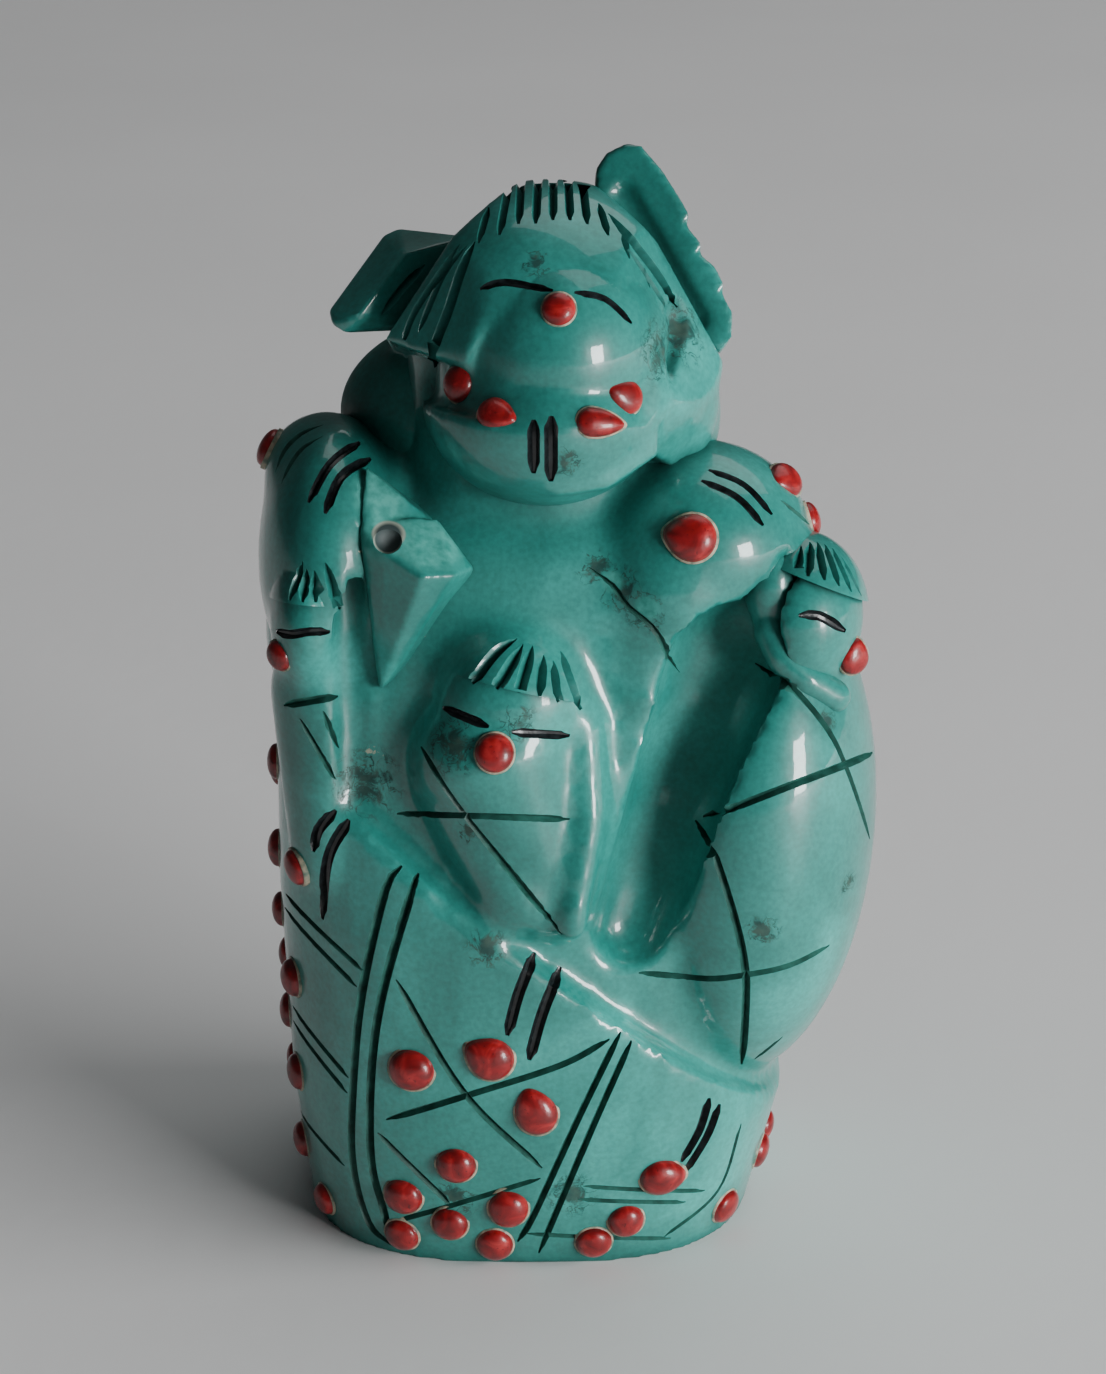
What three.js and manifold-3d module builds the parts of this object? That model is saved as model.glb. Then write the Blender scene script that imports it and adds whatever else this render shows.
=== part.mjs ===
// A small stone carving of a mother with three swaddled babies, inlaid with coral dots.
// Millimetres, +Z up, the figure faces -Y, the origin is on the flat underside.
// Left and right are the viewer's.
import * as THREE from "three";
import { mergeVertices } from "three/addons/utils/BufferGeometryUtils.js";
import Module from "manifold-3d";

const wasm = await Module();
wasm.setup();

// Driving sizes
const HEIGHT = 61.2; // from the flat underside to the tip of the tall hair whorl
const FACET = 2.7; // spacing of the facets that stand for the polished surface, at the base
const FLATNESS = 0.02; // how far a facet may be moved where facets are joined into fewer
const SLIVER = 0.05; // the least height of a facet
const GRID_TAPER = 0.54; // how much finer the facets are at the top than at the base
const SOFT = 0.8; // radius that the polish leaves in an ordinary crease
const DEEP = 2.4; // radius of the wide hollows between the big forms

const V = (x, y, z) => new THREE.Vector3(x, y, z);

// Signed distances, in millimetres and negative inside the stone

const ellipsoid = (centre, radii, turn = [0, 0, 0]) => {
  const back = new THREE.Quaternion()
    .setFromEuler(new THREE.Euler(...turn.map(THREE.MathUtils.degToRad), "XYZ"))
    .invert();
  const c = V(...centre);
  const q = V(0, 0, 0);
  return (p) => {
    q.copy(p).sub(c).applyQuaternion(back);
    const near = Math.hypot(q.x / radii[0], q.y / radii[1], q.z / radii[2]);
    const slope = Math.hypot(q.x / radii[0] ** 2, q.y / radii[1] ** 2, q.z / radii[2] ** 2);
    return slope < 1e-9 ? -Math.min(...radii) : (near * (near - 1)) / slope;
  };
};

const limb = (from, to, startRadius, endRadius) => {
  const a = V(...from);
  const along = V(...to).sub(a);
  const q = V(0, 0, 0);
  return (p) => {
    q.copy(p).sub(a);
    const t = THREE.MathUtils.clamp(q.dot(along) / along.lengthSq(), 0, 1);
    return q.addScaledVector(along, -t).length() - THREE.MathUtils.lerp(startRadius, endRadius, t);
  };
};

const under = (through, normal) => {
  const n = V(...normal).normalize();
  const c = n.dot(V(...through));
  return (p) => n.dot(p) - c;
};

const softMin = (a, b, k) => {
  const h = Math.max(k - Math.abs(a - b), 0) / k;
  return Math.min(a, b) - (h * h * k) / 4;
};
const add = (a, b, k) => (p) => softMin(a(p), b(p), k);
const cut = (a, b, k) => (p) => -softMin(-a(p), b(p), k);
const keep = (a, b, k) => (p) => -softMin(-a(p), -b(p), k);

// The blank: an upright block with round corners, given as height, left, right, front, back
const BLANK = [
  [-4, -13.4, 10.4, -10.8, 9.6],
  [0, -13.8, 11.0, -11.4, 10.2],
  [8, -14.7, 13.0, -12.8, 11.2],
  [20, -15.2, 13.8, -13.1, 12.0],
  [32, -15.2, 13.8, -11.6, 12.2],
  [40, -15.0, 13.2, -10.4, 11.6],
  [46, -14.4, 12.4, -9.4, 10.4],
];
const CORNER_POWER = 2.7;

const station = (z) => {
  const i = Math.max(0, Math.min(BLANK.length - 2, BLANK.findIndex((row) => row[0] > z) - 1));
  const [low, high] = z >= BLANK.at(-1)[0] ? BLANK.slice(-2) : BLANK.slice(i, i + 2);
  const t = THREE.MathUtils.smoothstep(z, low[0], high[0]);
  return low.map((v, k) => THREE.MathUtils.lerp(v, high[k], t)).slice(1);
};

const blank = (sideGrowth, frontGrowth) => (p) => {
  const [left, right, front, back] = station(p.z);
  const rx = (right - left) / 2 + sideGrowth;
  const ry = (back - front + frontGrowth) / 2 + sideGrowth;
  const x = Math.abs(p.x - (left + right) / 2) / rx;
  const y = Math.abs(p.y - (front - frontGrowth + back) / 2) / ry;
  return (Math.pow(x ** CORNER_POWER + y ** CORNER_POWER, 1 / CORNER_POWER) - 1) * Math.min(rx, ry);
};

// The mother's body, and the blanket round it, its edge falling from the left arm to the right foot
const shoulderTop = ellipsoid([-0.8, 1.0, 33.5], [15.6, 12.4, 11.5]);
const torso = add(keep(blank(0, 0), under([0, 0, 43], [0, 0, 1]), 5), shoulderTop, DEEP);
const blanketEdge = under([3.7, -15, 15.6], [0.622, 0.02, 0.782]);
const blanket = keep(keep(blank(0.4, 1.1), blanketEdge, 1.6), under([0, 0, 40], [0, 0, 1]), 3);

const rightArm = add(
  ellipsoid([8.3, -5.2, 41.2], [5.9, 6.0, 5.0], [0, 12, 0]),
  limb([7.4, -8.6, 41.6], [7.6, -12.0, 37.8], 3.4, 1.9),
  2.4,
);
const leftArm = ellipsoid([-12.2, -4.0, 39.4], [4.0, 6.9, 7.9]);

// The stump of the broken left forearm: flat broken faces that meet in edges
const armStump = [
  under([-10, -8, 46.1], [0.168, -0.497, 0.852]),
  under([-10, -11.6, 44.2], [0.174, -0.758, 0.629]),
  under([-7, -13.4, 41.2], [0.06, -0.964, -0.26]),
  under([-7, -13.4, 41.2], [-0.505, -0.863, 0.013]),
  under([-4.6, -12.6, 41.5], [0.68, -0.593, -0.43]),
  under([-4.6, -12.6, 41.5], [0.873, 0, 0.488]),
  under([-11.6, -8, 40], [-1, 0, 0]),
  under([-9, -5, 38], [0, 1, 0]),
  under([-9, -11, 33.2], [-0.2, -0.5, -0.85]),
].reduce((a, b) => keep(a, b, 0.2));

// Swaddled babies: a head in a niche and a pod that narrows to a point
const leftNiche = ellipsoid([-14.6, -11.2, 37.8], [5.2, 4.0, 6.2]);
const leftBaby = add(
  ellipsoid([-12.8, -7.6, 37.2], [3.5, 4.2, 4.5]),
  limb([-11.8, -7.4, 33], [-11.2, -8.4, 24], 3.9, 3.4),
  SOFT,
);
const middleBaby = add(
  ellipsoid([-2.2, -10.2, 33.7], [4.6, 4.6, 4.9]),
  limb([-3.0, -10.3, 30.2], [0.1, -12.4, 22.0], 4.9, 1.9),
  SOFT,
);
const rightNiche = ellipsoid([16.6, -10.6, 38.2], [4.6, 4.4, 5.6]);
const rightBaby = add(
  ellipsoid([13.4, -7.2, 37.2], [3.5, 4.2, 4.3]),
  ellipsoid([11.1, -5.6, 23.8], [6.9, 8.7, 14.8], [0, 4, 0]),
  SOFT,
);

// The fold of the mother's dress beside the middle baby, and the hollows cut between the forms
const dressFold = limb([3.4, -8.6, 38], [3.4, -12.0, 22.4], 3.2, 1.8);
const leftHollow = limb([-9.4, -15.0, 41], [-8.8, -15.2, 28], 1.8, 2.6);
const rightHollow = limb([9.4, -13.0, 37.4], [4.6, -14.7, 21.5], 2.9, 1.6);

// Head, thrown back a little: a tent of hair with the face in its opening, on a bowl-shaped collar
const hairTent = [
  ellipsoid([-0.2, -3.4, 50.9], [9.4, 8.6, 9.2]),
  under([-3.2, -5, 59.1], [-0.79, -0.1, 0.6]),
  under([2.5, -5, 60.0], [0.78, -0.1, 0.62]),
  under([0, -9, 51.4], [0, 0.1, -1]),
].reduce((a, b) => keep(a, b, 1.2));
const faceOpening = ellipsoid([0.3, -12.4, 53.3], [6.4, 7.0, 7.4], [-22, 0, 0]);
const face = ellipsoid([0.4, -5.9, 52.3], [6.3, 6.7, 6.0]);
const collar = keep(
  ellipsoid([-0.4, -7.0, 50.0], [7.4, 7.0, 5.7]),
  under([0, -12, 50.6], [0, -0.08, 1]),
  0.6,
);
const neck = limb([-1, 0, 42], [-1, -1, 50], 8.5, 7.0);
const backHair = ellipsoid([-1.5, 2.2, 47.6], [11.0, 6.4, 6.8]);
const rightWhorl = ellipsoid([6.2, 0.2, 55.4], [1.5, 3.6, 6.6], [0, -26, -24]);
const leftWhorl = keep(
  ellipsoid([-6.5, -1.5, 54.5], [7.2, 2.6, 3.5]),
  under([-9.9, -1.5, 55.6], [-0.76, -0.25, 0.6]),
  0.2,
);

const stone = [
  [add, torso, 0],
  [cut, leftNiche, SOFT],
  [cut, rightNiche, SOFT],
  [add, leftArm, 1.2],
  [add, rightArm, 1.6],
  [add, dressFold, 2.0],
  [add, leftBaby, 0.6],
  [add, middleBaby, SOFT],
  [add, rightBaby, SOFT],
  [cut, rightHollow, 2.0],
  [cut, leftHollow, 1.4],
  [add, armStump, 0.4],
  [add, blanket, SOFT],
  [add, neck, DEEP],
  [add, backHair, 1.2],
  [add, hairTent, 0.6],
  [add, leftWhorl, 0.5],
  [add, rightWhorl, 0.5],
  [cut, faceOpening, 0.2],
  [add, collar, 0.6],
  [add, face, 0.7],
  [keep, under([0, 0, -1.2], [0, 0, -1]), 0.1],
].reduce((made, [how, form, k]) => (made ? how(made, form, k) : form), null);

// The grid of facets gets finer towards the head, as the carving does
function tapered(p) {
  const shrink = Math.exp((-GRID_TAPER * p.z) / HEIGHT);
  return V(p.x * shrink, p.y * shrink, (HEIGHT / GRID_TAPER) * (1 - shrink));
}

// True when the corners of a cell on one side of the surface all join along the cell's edges
const joined = (mask) => {
  let found = mask & -mask;
  for (let i = 0; i < 8; i++)
    for (let c = 0; c < 8; c++)
      if (mask & (1 << c) && [1, 2, 4].some((bit) => found & (1 << (c ^ bit)))) found |= 1 << c;
  return found === mask;
};
const oneSheet = [...Array(256).keys()].map((mask) => joined(mask) && joined(255 - mask));

// The surface where a field is zero, as one closed mesh of facets
function carved(field, box, cell) {
  const size = box.getSize(V(0, 0, 0));
  const n = ["x", "y", "z"].map((k) => Math.ceil(size[k] / cell) + 1);
  const at = (i, j, k) => (k * n[1] + j) * n[0] + i;
  const point = (p) => tapered(p.multiplyScalar(cell).add(box.min));
  const value = new Float32Array(n[0] * n[1] * n[2]);
  for (let k = 0; k < n[2]; k++)
    for (let j = 0; j < n[1]; j++)
      for (let i = 0; i < n[0]; i++) value[at(i, j, k)] = field(point(V(i, j, k))) || 1e-6;

  // A crack narrower than a cell is filled, so that no cell holds two sheets of the surface
  const corner = [...Array(8).keys()].map((b) => [b & 1, (b >> 1) & 1, b >> 2]);
  const across = corner.map(([i, j, k]) => at(i, j, k));
  for (let changed = true; changed; ) {
    changed = false;
    for (let cell = 0; cell < value.length - across[7]; cell++) {
      const mask = across.reduce((sum, step, c) => sum | ((value[cell + step] < 0) << c), 0);
      if (oneSheet[mask]) continue;
      const choices = [...across.keys()].filter((c) => !(mask & (1 << c)) && oneSheet[mask | (1 << c)]);
      const open = choices.length ? choices : [...across.keys()].filter((c) => !(mask & (1 << c)));
      const least = open.reduce((a, b) => (value[cell + across[b]] < value[cell + across[a]] ? b : a));
      value[cell + across[least]] = -0.02;
      changed = true;
    }
  }

  const positions = [];
  const vertexOf = new Int32Array(value.length).fill(-1);
  for (let k = 0; k < n[2] - 1; k++)
    for (let j = 0; j < n[1] - 1; j++)
      for (let i = 0; i < n[0] - 1; i++) {
        const sum = V(0, 0, 0);
        let crossings = 0;
        corner.forEach((a, from) =>
          [1, 2, 4].filter((bit) => !(from & bit)).forEach((bit) => {
            const b = corner[from | bit];
            const va = value[at(i + a[0], j + a[1], k + a[2])];
            const vb = value[at(i + b[0], j + b[1], k + b[2])];
            if (va < 0 === vb < 0) return;
            sum.add(V(...a).lerp(V(...b), va / (va - vb)));
            crossings++;
          }),
        );
        if (!crossings) continue;
        const middle = point(sum.divideScalar(crossings).add(V(i, j, k)));
        vertexOf[at(i, j, k)] = positions.length / 3;
        positions.push(...onto(field, middle));
      }

  const index = [];
  const step = [1, n[0], n[0] * n[1]];
  for (let k = 1; k < n[2] - 1; k++)
    for (let j = 1; j < n[1] - 1; j++)
      for (let i = 1; i < n[0] - 1; i++) {
        const here = at(i, j, k);
        step.forEach((s, axis) => {
          if (value[here] < 0 === value[here + s] < 0) return;
          const u = step[(axis + 1) % 3];
          const v = step[(axis + 2) % 3];
          const ring = [here - u - v, here - v, here, here - u].map((c) => vertexOf[c]);
          if (value[here] > 0) ring.reverse();
          index.push(ring[0], ring[1], ring[2], ring[0], ring[2], ring[3]);
        });
      }
  return new THREE.BufferGeometry()
    .setAttribute("position", new THREE.Float32BufferAttribute(positions, 3))
    .setIndex(index);
}

const slopeOf = (field, p, h = 0.05) =>
  V(
    field(V(p.x + h, p.y, p.z)) - field(V(p.x - h, p.y, p.z)),
    field(V(p.x, p.y + h, p.z)) - field(V(p.x, p.y - h, p.z)),
    field(V(p.x, p.y, p.z + h)) - field(V(p.x, p.y, p.z - h)),
  ).divideScalar(2 * h);

// A point moved onto the surface of a field, by at most half a facet
function onto(field, p) {
  const g = slopeOf(field, p);
  const away = field(p) / Math.max(g.lengthSq(), 1e-6);
  const most = FACET / 2 / Math.max(g.length(), 1e-6);
  return p.clone().addScaledVector(g, -THREE.MathUtils.clamp(away, -most, most));
}

const BLOCK = new THREE.Box3(V(-30, -30, -6), V(31, 24, 105));
const figure = carved(stone, BLOCK, FACET);

const solid = (geometry) => {
  const bare = geometry.clone();
  bare.deleteAttribute("normal");
  bare.deleteAttribute("uv");
  const merged = mergeVertices(bare, 1e-4);
  return new wasm.Manifold(
    new wasm.Mesh({
      numProp: 3,
      vertProperties: merged.attributes.position.array,
      triVerts: new Uint32Array(merged.index.array),
    }),
  );
};
const geometryOf = (made) => {
  const mesh = made.getMesh();
  return new THREE.BufferGeometry()
    .setAttribute("position", new THREE.BufferAttribute(mesh.vertProperties, 3))
    .setIndex(new THREE.BufferAttribute(mesh.triVerts, 1));
};

// Places on the stone. A front drawing, seen from a little above, gives most of them: x to the
// right and h up from the middle of the body. The sides and back use an azimuth and a height.
const DRAWING_TILT = THREE.MathUtils.degToRad(22);
const INTO = V(0, Math.cos(DRAWING_TILT), -Math.sin(DRAWING_TILT));
const UP = V(0, Math.sin(DRAWING_TILT), Math.cos(DRAWING_TILT));

function struck(start, direction) {
  const p = start.clone();
  const nearest = { p: p.clone(), away: Infinity };
  for (let i = 0; i < 200 && nearest.away > 0.01; i++) {
    const away = stone(p);
    if (away < nearest.away) Object.assign(nearest, { p: p.clone(), away });
    p.addScaledVector(direction, Math.max(away * 0.7, 0.01));
  }
  const rest = onto(stone, onto(stone, nearest.p));
  return { p: rest, n: slopeOf(stone, rest, 0.3).normalize() };
}
const front = (x, h) => struck(V(x, 0, 30).addScaledVector(UP, h).addScaledVector(INTO, -60), INTO);
const side = (azimuth, z) => {
  const a = THREE.MathUtils.degToRad(azimuth);
  const outward = V(Math.sin(a), -Math.cos(a), 0);
  return struck(V(0, 0, z).addScaledVector(outward, 40), outward.negate());
};

// Coral dots, each a six-sided dome on a short stem, glued into a drilled seat.
// Each row is a name, a place, the width, and for a drop the length and the way it points.
const SEAT_DEPTH = 0.9;
const GLUE_GAP = 0.1;
const DOT_RISE = 0.78;
const DOT_SIDES = 6;

const CORALS = [
  ["mouth", front(0.3, 19.5), 1.7],
  ["necklace_1", front(-4.9, 15.9), 1.9],
  ["necklace_2", front(-3.1, 14.2), 1.7, 2.3, -10],
  ["necklace_3", front(2.0, 13.7), 1.6, 2.5, -10],
  ["necklace_4", front(3.9, 15.1), 1.7, 2.3, 150],
  ["left_arm", side(-80, 45.2), 2.1],
  ["right_arm_1", front(7.4, 7.9), 2.5, 2.8, 170],
  ["right_arm_2", front(12.6, 11.2), 2.0, 2.4, 170],
  ["right_arm_3", side(71, 41.8), 2.0],
  ["left_baby_mouth", front(-14.7, 1.7), 1.7],
  ["middle_baby_mouth", front(-3.1, -3.5), 2.0],
  ["right_baby_mouth", front(16.4, 1.5), 1.8],
  ["flank_1", side(-80, 26.6), 2.0],
  ["flank_2", side(-93, 24.6), 2.0],
  ["flank_3", side(-55, 23.3), 2.1],
  ["flank_4", side(-82, 21.0), 2.1],
  ["flank_5", side(-95, 19.2), 2.0],
  ["flank_6", side(-80, 17.4), 2.0],
  ["flank_7", side(-62, 15.5), 2.2],
  ["flank_8", side(-89, 13.4), 2.0],
  ["flank_9", side(-78, 11.2), 2.0],
  ["flank_10", side(-64, 9.2), 2.1],
  ["flank_11", side(-84, 7.2), 2.0],
  ["flank_12", side(-69, 4.0), 2.1],
  ["hem_1", side(-57, 1.7), 1.9],
  ["hem_2", side(-35, 1.5), 2.0],
  ["hem_3", side(-14, 1.4), 2.0],
  ["hem_4", side(10, 1.5), 2.0],
  ["hem_5", side(46, 1.8), 2.0],
  ["hem_6", side(64, 3.4), 2.0],
  ["hem_7", side(76, 3.6), 1.9],
  ["front_1", front(-7.8, -21.1), 2.5],
  ["front_2", front(-3.4, -20.4), 2.5, 2.8, 150],
  ["front_3", front(-0.9, -23.6), 2.4, 2.9, 110],
  ["front_4", front(-5.4, -26.6), 2.2],
  ["front_5", front(-8.4, -28.6), 2.2],
  ["front_6", front(-2.5, -29.2), 2.2],
  ["front_7", front(-5.8, -30.2), 2.0],
  ["front_8", front(4.1, -30.0), 2.0],
  ["front_9", front(6.0, -27.4), 2.3, 2.6, 0],
  ["back_1", side(-112, 22.0), 2.1],
  ["back_2", side(-128, 13.0), 2.1],
  ["back_3", side(-145, 24.0), 2.1],
  ["back_4", side(-152, 5.5), 2.1],
  ["back_5", side(-172, 15.0), 2.1],
  ["back_6", side(162, 7.0), 2.1],
  ["back_7", side(140, 12.0), 2.1],
  ["back_8", side(118, 5.0), 2.1],
];

// One dome or seat standing on the origin, its six sides stretched to a point when it is a drop
const dot = (width, length, profile) => {
  const shape = new THREE.LatheGeometry(
    profile.map(([r, z]) => new THREE.Vector2(r, z)),
    DOT_SIDES,
    Math.PI / 2,
  ).rotateX(Math.PI / 2);
  const at = shape.attributes.position;
  for (let i = 0; i < at.count; i++) {
    const tip = at.getX(i) > 0 ? length * 2 - width : width;
    at.setXY(i, (at.getX(i) * tip) / 2, (at.getY(i) * width) / 2);
  }
  return shape;
};

// A shape stood on the surface, turned by an angle from the level line to the right
const standOn = (shape, place, angle) => {
  const level = V(0, 0, 1).cross(place.n).normalize();
  const basis = new THREE.Matrix4().makeBasis(level, place.n.clone().cross(level), place.n);
  return shape
    .rotateZ(THREE.MathUtils.degToRad(angle))
    .applyMatrix4(basis.setPosition(place.p));
};

// Knife cuts: a wedge that follows the surface and fades out at both ends.
// Each row is a width, a depth and the points of its route.
const CUT_STEP = 5;
const CUT_TURN = 0.6;
const LIFT = 1.3; // how far a wedge stands out of the stone, so that no flat stretch of it is buried
const bang = (i) => {
  const x = -3.3 + 1.1 * i;
  return [0.4, 0.45, [front(x, 26.6 - 0.15 * (x + 0.6) ** 2), front(x * 1.05, 24.3 - 0.09 * x * x)]];
};
const fan = (place, spread, length, width) =>
  [-1, -0.33, 0.33, 1].map((k) => [width, 0.4, [place(k * spread * 0.35, 0), place(k * spread, -length)]]);

const CUTS = [
  ...[0, 1, 2, 3, 4, 5, 6].map(bang),
  [0.5, 0.5, [front(-5.5, 23.8), front(-8.6, 19.2)]],
  [0.5, 0.5, [front(-4.6, 23.4), front(-7.0, 18.8)]],
  [0.5, 0.5, [front(-4.0, 22.8), front(-6.3, 17.9)]],
  [0.8, 0.8, [front(3.2, 26.0), front(5.6, 23.9), front(8.0, 20.4)]],
  [0.5, 0.5, [front(3.4, 24.8), front(6.7, 20.8)]],
  [0.55, 0.5, [front(-1.0, 13.9), front(-1.0, 11.1)]],
  [0.55, 0.5, [front(-0.1, 14.0), front(-0.1, 10.8)]],
  [0.45, 0.45, [front(-10.4, 13.2), front(-11.9, 11.9), front(-13.0, 9.8)]],
  [0.45, 0.45, [front(-9.8, 12.3), front(-11.3, 11.2), front(-12.1, 9.2)]],
  [0.45, 0.45, [front(8.3, 11.6), front(10.2, 10.8), front(11.7, 9.2)]],
  [0.45, 0.45, [front(7.9, 11.0), front(9.8, 10.1), front(11.2, 8.6)]],
  ...fan((x, h) => front(-1.7 + x, 1.9 + h), 2.3, 2.1, 0.45),
  ...fan((x, h) => front(-12.9 + x, 6.4 + h), 1.3, 1.9, 0.35),
  ...fan((x, h) => front(14.6 + x, 7.6 + h), 1.6, 1.7, 0.35),
  [0.5, 0.45, [front(-8.2, -6.9), front(-3.9, -6.9), front(0.8, -7.1)]],
  [0.5, 0.45, [front(-7.1, -3.2), front(-4.7, -6.9), front(0.3, -13.2)]],
  [0.45, 0.45, [front(-14.4, -1.0), front(-11.8, -0.6)]],
  [0.5, 0.5, [front(8.2, -7.1), front(12.7, -5.3), front(17.4, -3.6)]],
  [0.45, 0.45, [front(11.0, 1.3), front(14.8, -2.3), front(17.3, -8.0)]],
  [0.5, 0.5, [front(7.8, -7.3), front(9.9, -12.7), front(10.6, -21.0)]],
  [0.5, 0.5, [front(4.9, -15.7), front(10.7, -15.7), front(15.2, -14.2)]],
  [0.6, 0.6, [front(-8.2, -9.7), front(-10.5, -16.8), front(-11.3, -26.0), front(-10.0, -30.8)]],
  [0.6, 0.6, [front(-7.3, -10.1), front(-9.4, -17.0), front(-10.2, -26.0), front(-9.6, -29.8)]],
  [0.5, 0.5, [front(3.5, -19.2), front(1.3, -24.1), front(-1.8, -30.8)]],
  [0.5, 0.5, [front(4.3, -19.4), front(1.9, -25.1), front(-0.8, -31.2)]],
  [0.5, 0.5, [front(-8.6, -16.0), front(-4.9, -22.4), front(-0.6, -26.8)]],
  [0.5, 0.5, [front(-9.3, -24.1), front(-4.6, -22.5), front(3.1, -19.6)]],
  [0.5, 0.5, [front(-9.8, -24.9), front(-5.9, -28.8)]],
  [0.5, 0.5, [front(-8.9, -30.2), front(-0.9, -27.4)]],
  [0.7, 0.5, [front(-11.9, -6.9), front(-12.9, -9.6)]],
  [0.7, 0.5, [front(-11.1, -7.2), front(-12.3, -9.4), front(-12.7, -12.4)]],
  [0.6, 0.5, [front(-1.0, -14.7), front(-2.5, -19.1)]],
  [0.6, 0.5, [front(0.4, -15.5), front(-1.3, -20.5)]],
  [0.6, 0.5, [front(8.7, -22.9), front(7.2, -26.6)]],
  [0.6, 0.5, [front(9.3, -23.3), front(7.4, -27.3)]],
  [0.45, 0.45, [front(-14.6, -11.6), front(-10.8, -15.4)]],
  [0.45, 0.45, [front(-14.5, -18.1), front(-11.8, -21.6)]],
  [0.45, 0.45, [front(1.7, -27.9), front(8.4, -28.5)]],
];

const wedge = ([width, depth, places]) => {
  const route = new THREE.CatmullRomCurve3(places.map((place) => place.p));
  const facings = [0, 0.25, 0.5, 0.75, 1].map((t) => slopeOf(stone, route.getPointAt(t), 0.3).normalize());
  const turned = facings.slice(1).reduce((sum, n, i) => sum + n.angleTo(facings[i]), 0);
  const steps = Math.max(2, Math.ceil(route.getLength() / CUT_STEP), Math.ceil(turned / CUT_TURN));
  const positions = [];
  for (let i = 0; i <= steps; i++) {
    const t = i / steps;
    const along = route.getTangentAt(t);
    const p = onto(stone, onto(stone, route.getPointAt(t)));
    const n = slopeOf(stone, p, 0.3).normalize();
    const across = n.clone().cross(along).normalize();
    const deep = depth * Math.max(0.2, Math.sin(Math.PI * t) ** 0.5);
    const half = ((width / 2) * (deep + LIFT)) / depth;
    const top = p.clone().addScaledVector(n, LIFT);
    positions.push(...top.clone().addScaledVector(across, -half));
    positions.push(...top.addScaledVector(across, half));
    positions.push(...p.addScaledVector(n, -deep));
  }
  const index = [0, 1, 2, steps * 3, steps * 3 + 2, steps * 3 + 1];
  for (let a = 0; a < steps * 3; a += 3)
    [[0, 1], [1, 2], [2, 0]].forEach(([i, j]) => index.push(a + i, a + 3 + i, a + j, a + j, a + 3 + i, a + 3 + j));
  return new THREE.BufferGeometry()
    .setAttribute("position", new THREE.Float32BufferAttribute(positions, 3))
    .setIndex(index);
};

// The drilled seat of a lost dot, filled flush with glue, in the broken face of the stump
const LOST_DOT = [front(-8.4, 7.9), 1.6];

const seat = (place, width, length = width, angle = 0, depth = SEAT_DEPTH) => {
  const wide = 1 + (2 * GLUE_GAP) / width;
  const profile = [[0, -depth - GLUE_GAP], [wide, -depth - GLUE_GAP], [wide, 1.6], [0, 1.6]];
  return solid(standOn(dot(width, length, profile), place, angle));
};
const coral = (place, width, length = width, angle = 0) => {
  const profile = [[0, -SEAT_DEPTH], [1, -SEAT_DEPTH], [1, 0.15], [0.66, DOT_RISE * 0.75], [0, DOT_RISE]];
  return standOn(dot(width, length, profile), place, angle);
};

// The same solid with fewer facets: an edge is closed up where that moves the surface less than
// a given distance and turns no facet over
function simplified(made, distance) {
  const { vertProperties, triVerts } = made.getMesh();
  const points = Array.from({ length: vertProperties.length / 3 }, (_, v) =>
    V(0, 0, 0).fromArray(vertProperties, v * 3),
  );
  const facets = Array.from({ length: triVerts.length / 3 }, (_, f) => [...triVerts.slice(f * 3, f * 3 + 3)]);
  const around = points.map(() => new Set());
  facets.forEach((facet, f) => facet.forEach((v) => around[v].add(f)));
  const facing = ([a, b, c]) => points[b].clone().sub(points[a]).cross(points[c].clone().sub(points[a]));
  const longest = ([a, b, c]) =>
    Math.max(points[a].distanceTo(points[b]), points[b].distanceTo(points[c]), points[c].distanceTo(points[a]));
  const height = (facet) => facing(facet).length() / Math.max(longest(facet), 1e-9);
  const neighbours = (v) => new Set([...around[v]].flatMap((f) => facets[f]));

  const closes = (from, to) => {
    const others = neighbours(to);
    if ([...neighbours(from)].filter((v) => others.has(v)).length !== 4) return false;
    return [...around[from]].every((f) => {
      if (facets[f].includes(to)) return true;
      const before = facing(facets[f]);
      const after = facets[f].map((v) => (v === from ? to : v));
      const away = Math.abs(points[to].clone().sub(points[from]).dot(before)) / Math.max(before.length(), 1e-9);
      if (height(facets[f]) > 0.01 && away > distance) return false;
      if (height(after) < Math.min(SLIVER, height(facets[f]))) return false;
      return height(facets[f]) < 0.01 || facing(after).normalize().dot(before.normalize()) > 0.5;
    });
  };
  const close = (from, to) => {
    for (const f of [...around[from]]) {
      if (facets[f].includes(to)) facets[f].forEach((v) => around[v].delete(f));
      else {
        facets[f] = facets[f].map((v) => (v === from ? to : v));
        around[to].add(f);
      }
    }
    around[from].clear();
  };

  for (let round = 0; round < 4; round++) {
    const edges = facets.flatMap(([a, b, c], f) => (around[a].has(f) ? [[a, b], [b, c], [c, a]] : []));
    edges
      .filter(([a, b]) => a < b)
      .map(([a, b]) => [a, b, points[a].distanceTo(points[b])])
      .sort((e, f) => e[2] - f[2])
      .forEach(([a, b]) => {
        if (!around[a].size || !around[b].size || !neighbours(a).has(b)) return;
        if (closes(a, b)) close(a, b);
        else if (closes(b, a)) close(b, a);
      });
  }
  const kept = facets.filter((facet, f) => around[facet[0]].has(f));
  return new THREE.BufferGeometry()
    .setAttribute("position", new THREE.BufferAttribute(vertProperties, 3))
    .setIndex(kept.flat());
}

const floorBlock = new THREE.BoxGeometry(80, 80, 20).translate(0, 0, -10);
const body = [
  solid(floorBlock),
  ...CUTS.map((row) => solid(wedge(row))),
  seat(...LOST_DOT, LOST_DOT[1], 0, 0.3),
  ...CORALS.map(([, ...row]) => seat(...row)),
].reduce((left, tool) => left.subtract(tool), solid(figure));

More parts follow.
